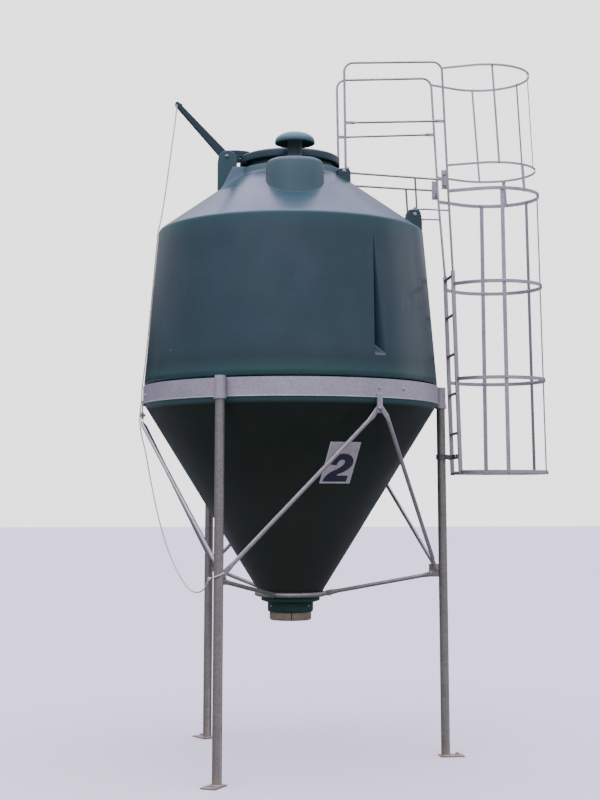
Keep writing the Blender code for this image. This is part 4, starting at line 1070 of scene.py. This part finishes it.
def make_scuffs():
    """A light knock and two faint scratches on the wall, and the seam in the spout's ring."""
    bm = bmesh.new()
    knock = zip(evenly(-57.0, -56.75, 5), evenly(2.632, 2.622, 5))
    bead(bm, [polar(wall_r(z) + 0.0004, azimuth, z) for azimuth, z in knock], 0.0036)
    for azimuth, middle, swing in ((47.5, 2.90, 3.2), (50.5, 2.86, 2.6)):
        arc = [(azimuth + x, middle + y * 0.040) for x, y in arc_points((0.0, 0.0), swing, 200, 110, 16)]
        bead(bm, [polar(wall_r(z) - 0.0002, turn, z) for turn, z in arc], 0.0008)
    piece("wall_scuffs", bm, "scuff", smooth=60)
    bm = bmesh.new()
    bead(bm, [polar(0.1372, -2.0, z) for z in evenly(0.8965, 0.9427, 11)], 0.0045)
    piece("spout_seam", bm, "hopper_shell", smooth=60)


def make_cage_bolts():
    """The bolts of the cage's hoops, the flat ends of the mid-rails and the bolts of the handrails."""
    bm = bmesh.new()
    for centre, radius, z, size in (
        (1.418, 0.3470, 1.863, HOOP_BOLT),
        (1.418, 0.3413, 2.490, HOOP_BOLT),
        (1.418, 0.3356, 3.142, HOOP_BOLT),
        (1.418, 0.3300, 3.783, HOOP_BOLT),
        (1.405, 0.3220, 3.963, TOP_HOOP_BOLT),
        (1.365, 0.3340, 4.651, TOP_HOOP_BOLT),
    ):
        for azimuth in (0.1, 62.1, 117.9, 179.9):
            way = outward(azimuth)
            place = from_axis(centre, 0.0, z) + way * (radius + 0.0020)
            hex_bolt(bm, place, way, *size)
            if size is HOOP_BOLT:
                hex_bolt(bm, place - way * 0.0082, -way, *HOOP_NUT)
    along, across = Vector((1, 0, 0)), Vector((0, 1, 0))
    for way in (-1, 1):
        for x, y, z in ((0.392, 0.2060, 4.2457), (1.016, 0.1958, 4.2752)):
            slab(bm, from_axis(x, way * y, z), along, across, (0.054, 0.0052, 0.022))
        for z in (3.826, 3.901):
            hex_bolt(bm, from_axis(1.047, way * 0.1865, z), across * way, *SMALL_BOLT)
    piece("cage_bolts", bm, "bolt_steel", smooth=30)


def make_roof_bolts():
    """The hinge pin's heads and the bolts of the lugs."""
    bm = bmesh.new()
    for way in (-1, 1):
        side, up = (0, way, 0), (0, 0, 1)
        for x, y, z, axis, size in (
            (PIVOT[0], 0.0668, PIVOT[1], side, (0.017, 0.010, 0.021)),
            (0.372, 0.200, 3.9235, up, (0.017, 0.009, 0.030)),
            (0.345, 0.2285, 3.902, side, (0.017, 0.010, 0.026)),
            (0.835, 0.2135, 3.612, side, (0.015, 0.008, 0.024)),
            (0.838, 0.185, 3.6560, up, (0.015, 0.008, 0.022)),
        ):
            hex_bolt(bm, from_axis(x, way * y, z), axis, *size)
    piece("roof_bolts", bm, "bolt_steel", smooth=30)


def make_welds():
    """The beads at the legs' feet, sockets and brace tabs, and the lip under the ring."""
    bm = bmesh.new()
    for azimuth in LEG_AZIMUTHS.values():
        for radius, z in ((LEG_R + 0.001, 0.0095), (SOCKET_R, 2.2970)):
            leg = polar(LEG_CIRCLE_R, azimuth, z)
            bead(bm, [leg + outward(turn) * radius for turn in evenly(90, 450, 48)], 0.0026)
        for way in (-1, 1):
            side = azimuth + way * math.degrees((SOCKET_R + 0.0007) / RING_R)
            bead(bm, [polar(RING_R + 0.0012, side, z) for z in evenly(2.318, 2.426, 30)], 0.0024)
    reach = math.degrees(TAB_HALF_WIDTH / RING_R)
    for azimuth in TAB_AZIMUTHS.values():
        left, right = azimuth - reach, azimuth + reach
        route = [(left - 0.06, z) for z in evenly(2.312, 2.335, 8)]
        route += [(turn, 2.336) for turn in evenly(left, right, 12)]
        route += [(right + 0.06, z) for z in evenly(2.335, 2.312, 8)]
        bead(bm, [polar(RING_R + 0.0015, turn, z) for turn, z in route], 0.0026)
    piece("stand_welds", bm, "galvanised", smooth=60)
    bm = bmesh.new()
    lathe(bm, arc_points((RING_R + 0.0018, 2.3125), 0.0034, 0, 315, 7), all_round(144), closed=True)
    piece("ring_lip", bm, "galvanised", smooth=80)


make_stand_bolts()
make_hoop_tabs()
make_scuffs()
make_cage_bolts()
make_roof_bolts()
make_welds()

# Studio


def make_floor():
    """A pale floor, which throws little light up at the object."""
    bpy.ops.mesh.primitive_plane_add(size=160.0, location=(0.0, 0.0, 0.0))
    floor = bpy.context.active_object
    floor.name = "floor"
    look = Look("floor", shine=0.0)
    seen = look.node("ShaderNodeLightPath").outputs["Is Camera Ray"]
    floor.data.materials.append(look.done(look.mix(seen, (0.125, 0.150, 0.132), (0.62, 0.615, 0.605)), 0.9))


# The sky's colours, from the level (0) up to overhead (1)
SKY = (
    (0.02, (0.024, 0.028, 0.028)),
    (0.09, (0.020, 0.025, 0.021)),
    (0.13, (0.056, 0.062, 0.060)),
    (0.17, (0.204, 0.194, 0.220)),
    (0.25, (0.170, 0.168, 0.186)),
    (0.36, (0.190, 0.178, 0.222)),
    (0.55, (0.38, 0.35, 0.44)),
    (0.92, (1.10, 0.96, 1.42)),
)


def make_sky():
    """A soft sky, bright overhead and dim low down; the camera sees a plain backdrop instead."""
    world = bpy.data.worlds.new("studio")
    bpy.context.scene.world = world
    world.use_nodes = True
    world.node_tree.nodes.clear()
    sky = Nodes(world.node_tree)
    direction = sky.node("ShaderNodeTexCoord").outputs["Generated"]
    way = sky.node("ShaderNodeSeparateXYZ", Vector=direction).outputs
    ramp = sky.node("ShaderNodeValToRGB", Fac=way["Z"])
    stops = ramp.color_ramp.elements
    stops[0].position, stops[1].position = SKY[0][0], SKY[-1][0]
    for height, _ in SKY[1:-1]:
        stops.new(height)
    for stop, (_, colour) in zip(stops, SKY):
        stop.color = (*colour, 1.0)
    low_behind = sky.times(sky.span(way["Y"], 0.25, 0.50), sky.span(way["Z"], 0.14, 0.26, 1.0, -0.45))
    dim = sky.times(low_behind, sky.span(way["X"], -0.25, 0.05, 0.75, 0.0))
    strength = sky.times(sky.span(way["Y"], -0.9, 0.3, 5.0, 3.2), sky.combine("SUBTRACT", 1.0, dim))
    light = sky.node("ShaderNodeBackground", Color=ramp.outputs["Color"], Strength=strength)
    backdrop = sky.node("ShaderNodeBackground", Color=(1.0, 1.0, 1.0), Strength=2.4)
    mix = sky.node("ShaderNodeMixShader", Fac=sky.node("ShaderNodeLightPath").outputs["Is Camera Ray"])
    sky.feed(mix.inputs[1], light.outputs["Background"])
    sky.feed(mix.inputs[2], backdrop.outputs["Background"])
    sky.node("ShaderNodeOutputWorld", Surface=mix.outputs["Shader"])


def make_lamp(name, place, size, power):
    data = bpy.data.lights.new(name, "AREA")
    data.size = size
    data.energy = power
    lamp = bpy.data.objects.new(name, data)
    lamp.location = place
    aim = Vector((0.0, 0.0, 2.2)) - Vector(place)
    lamp.rotation_euler = aim.to_track_quat("-Z", "Y").to_euler()
    bpy.context.scene.collection.objects.link(lamp)
    return lamp


make_floor()
make_sky()
make_lamp("key_light", (-4.0, -7.0, 9.0), 7.0, 260.0).visible_glossy = False
make_lamp("side_light", (8.0, 1.5, 4.0), 5.0, 40.0)
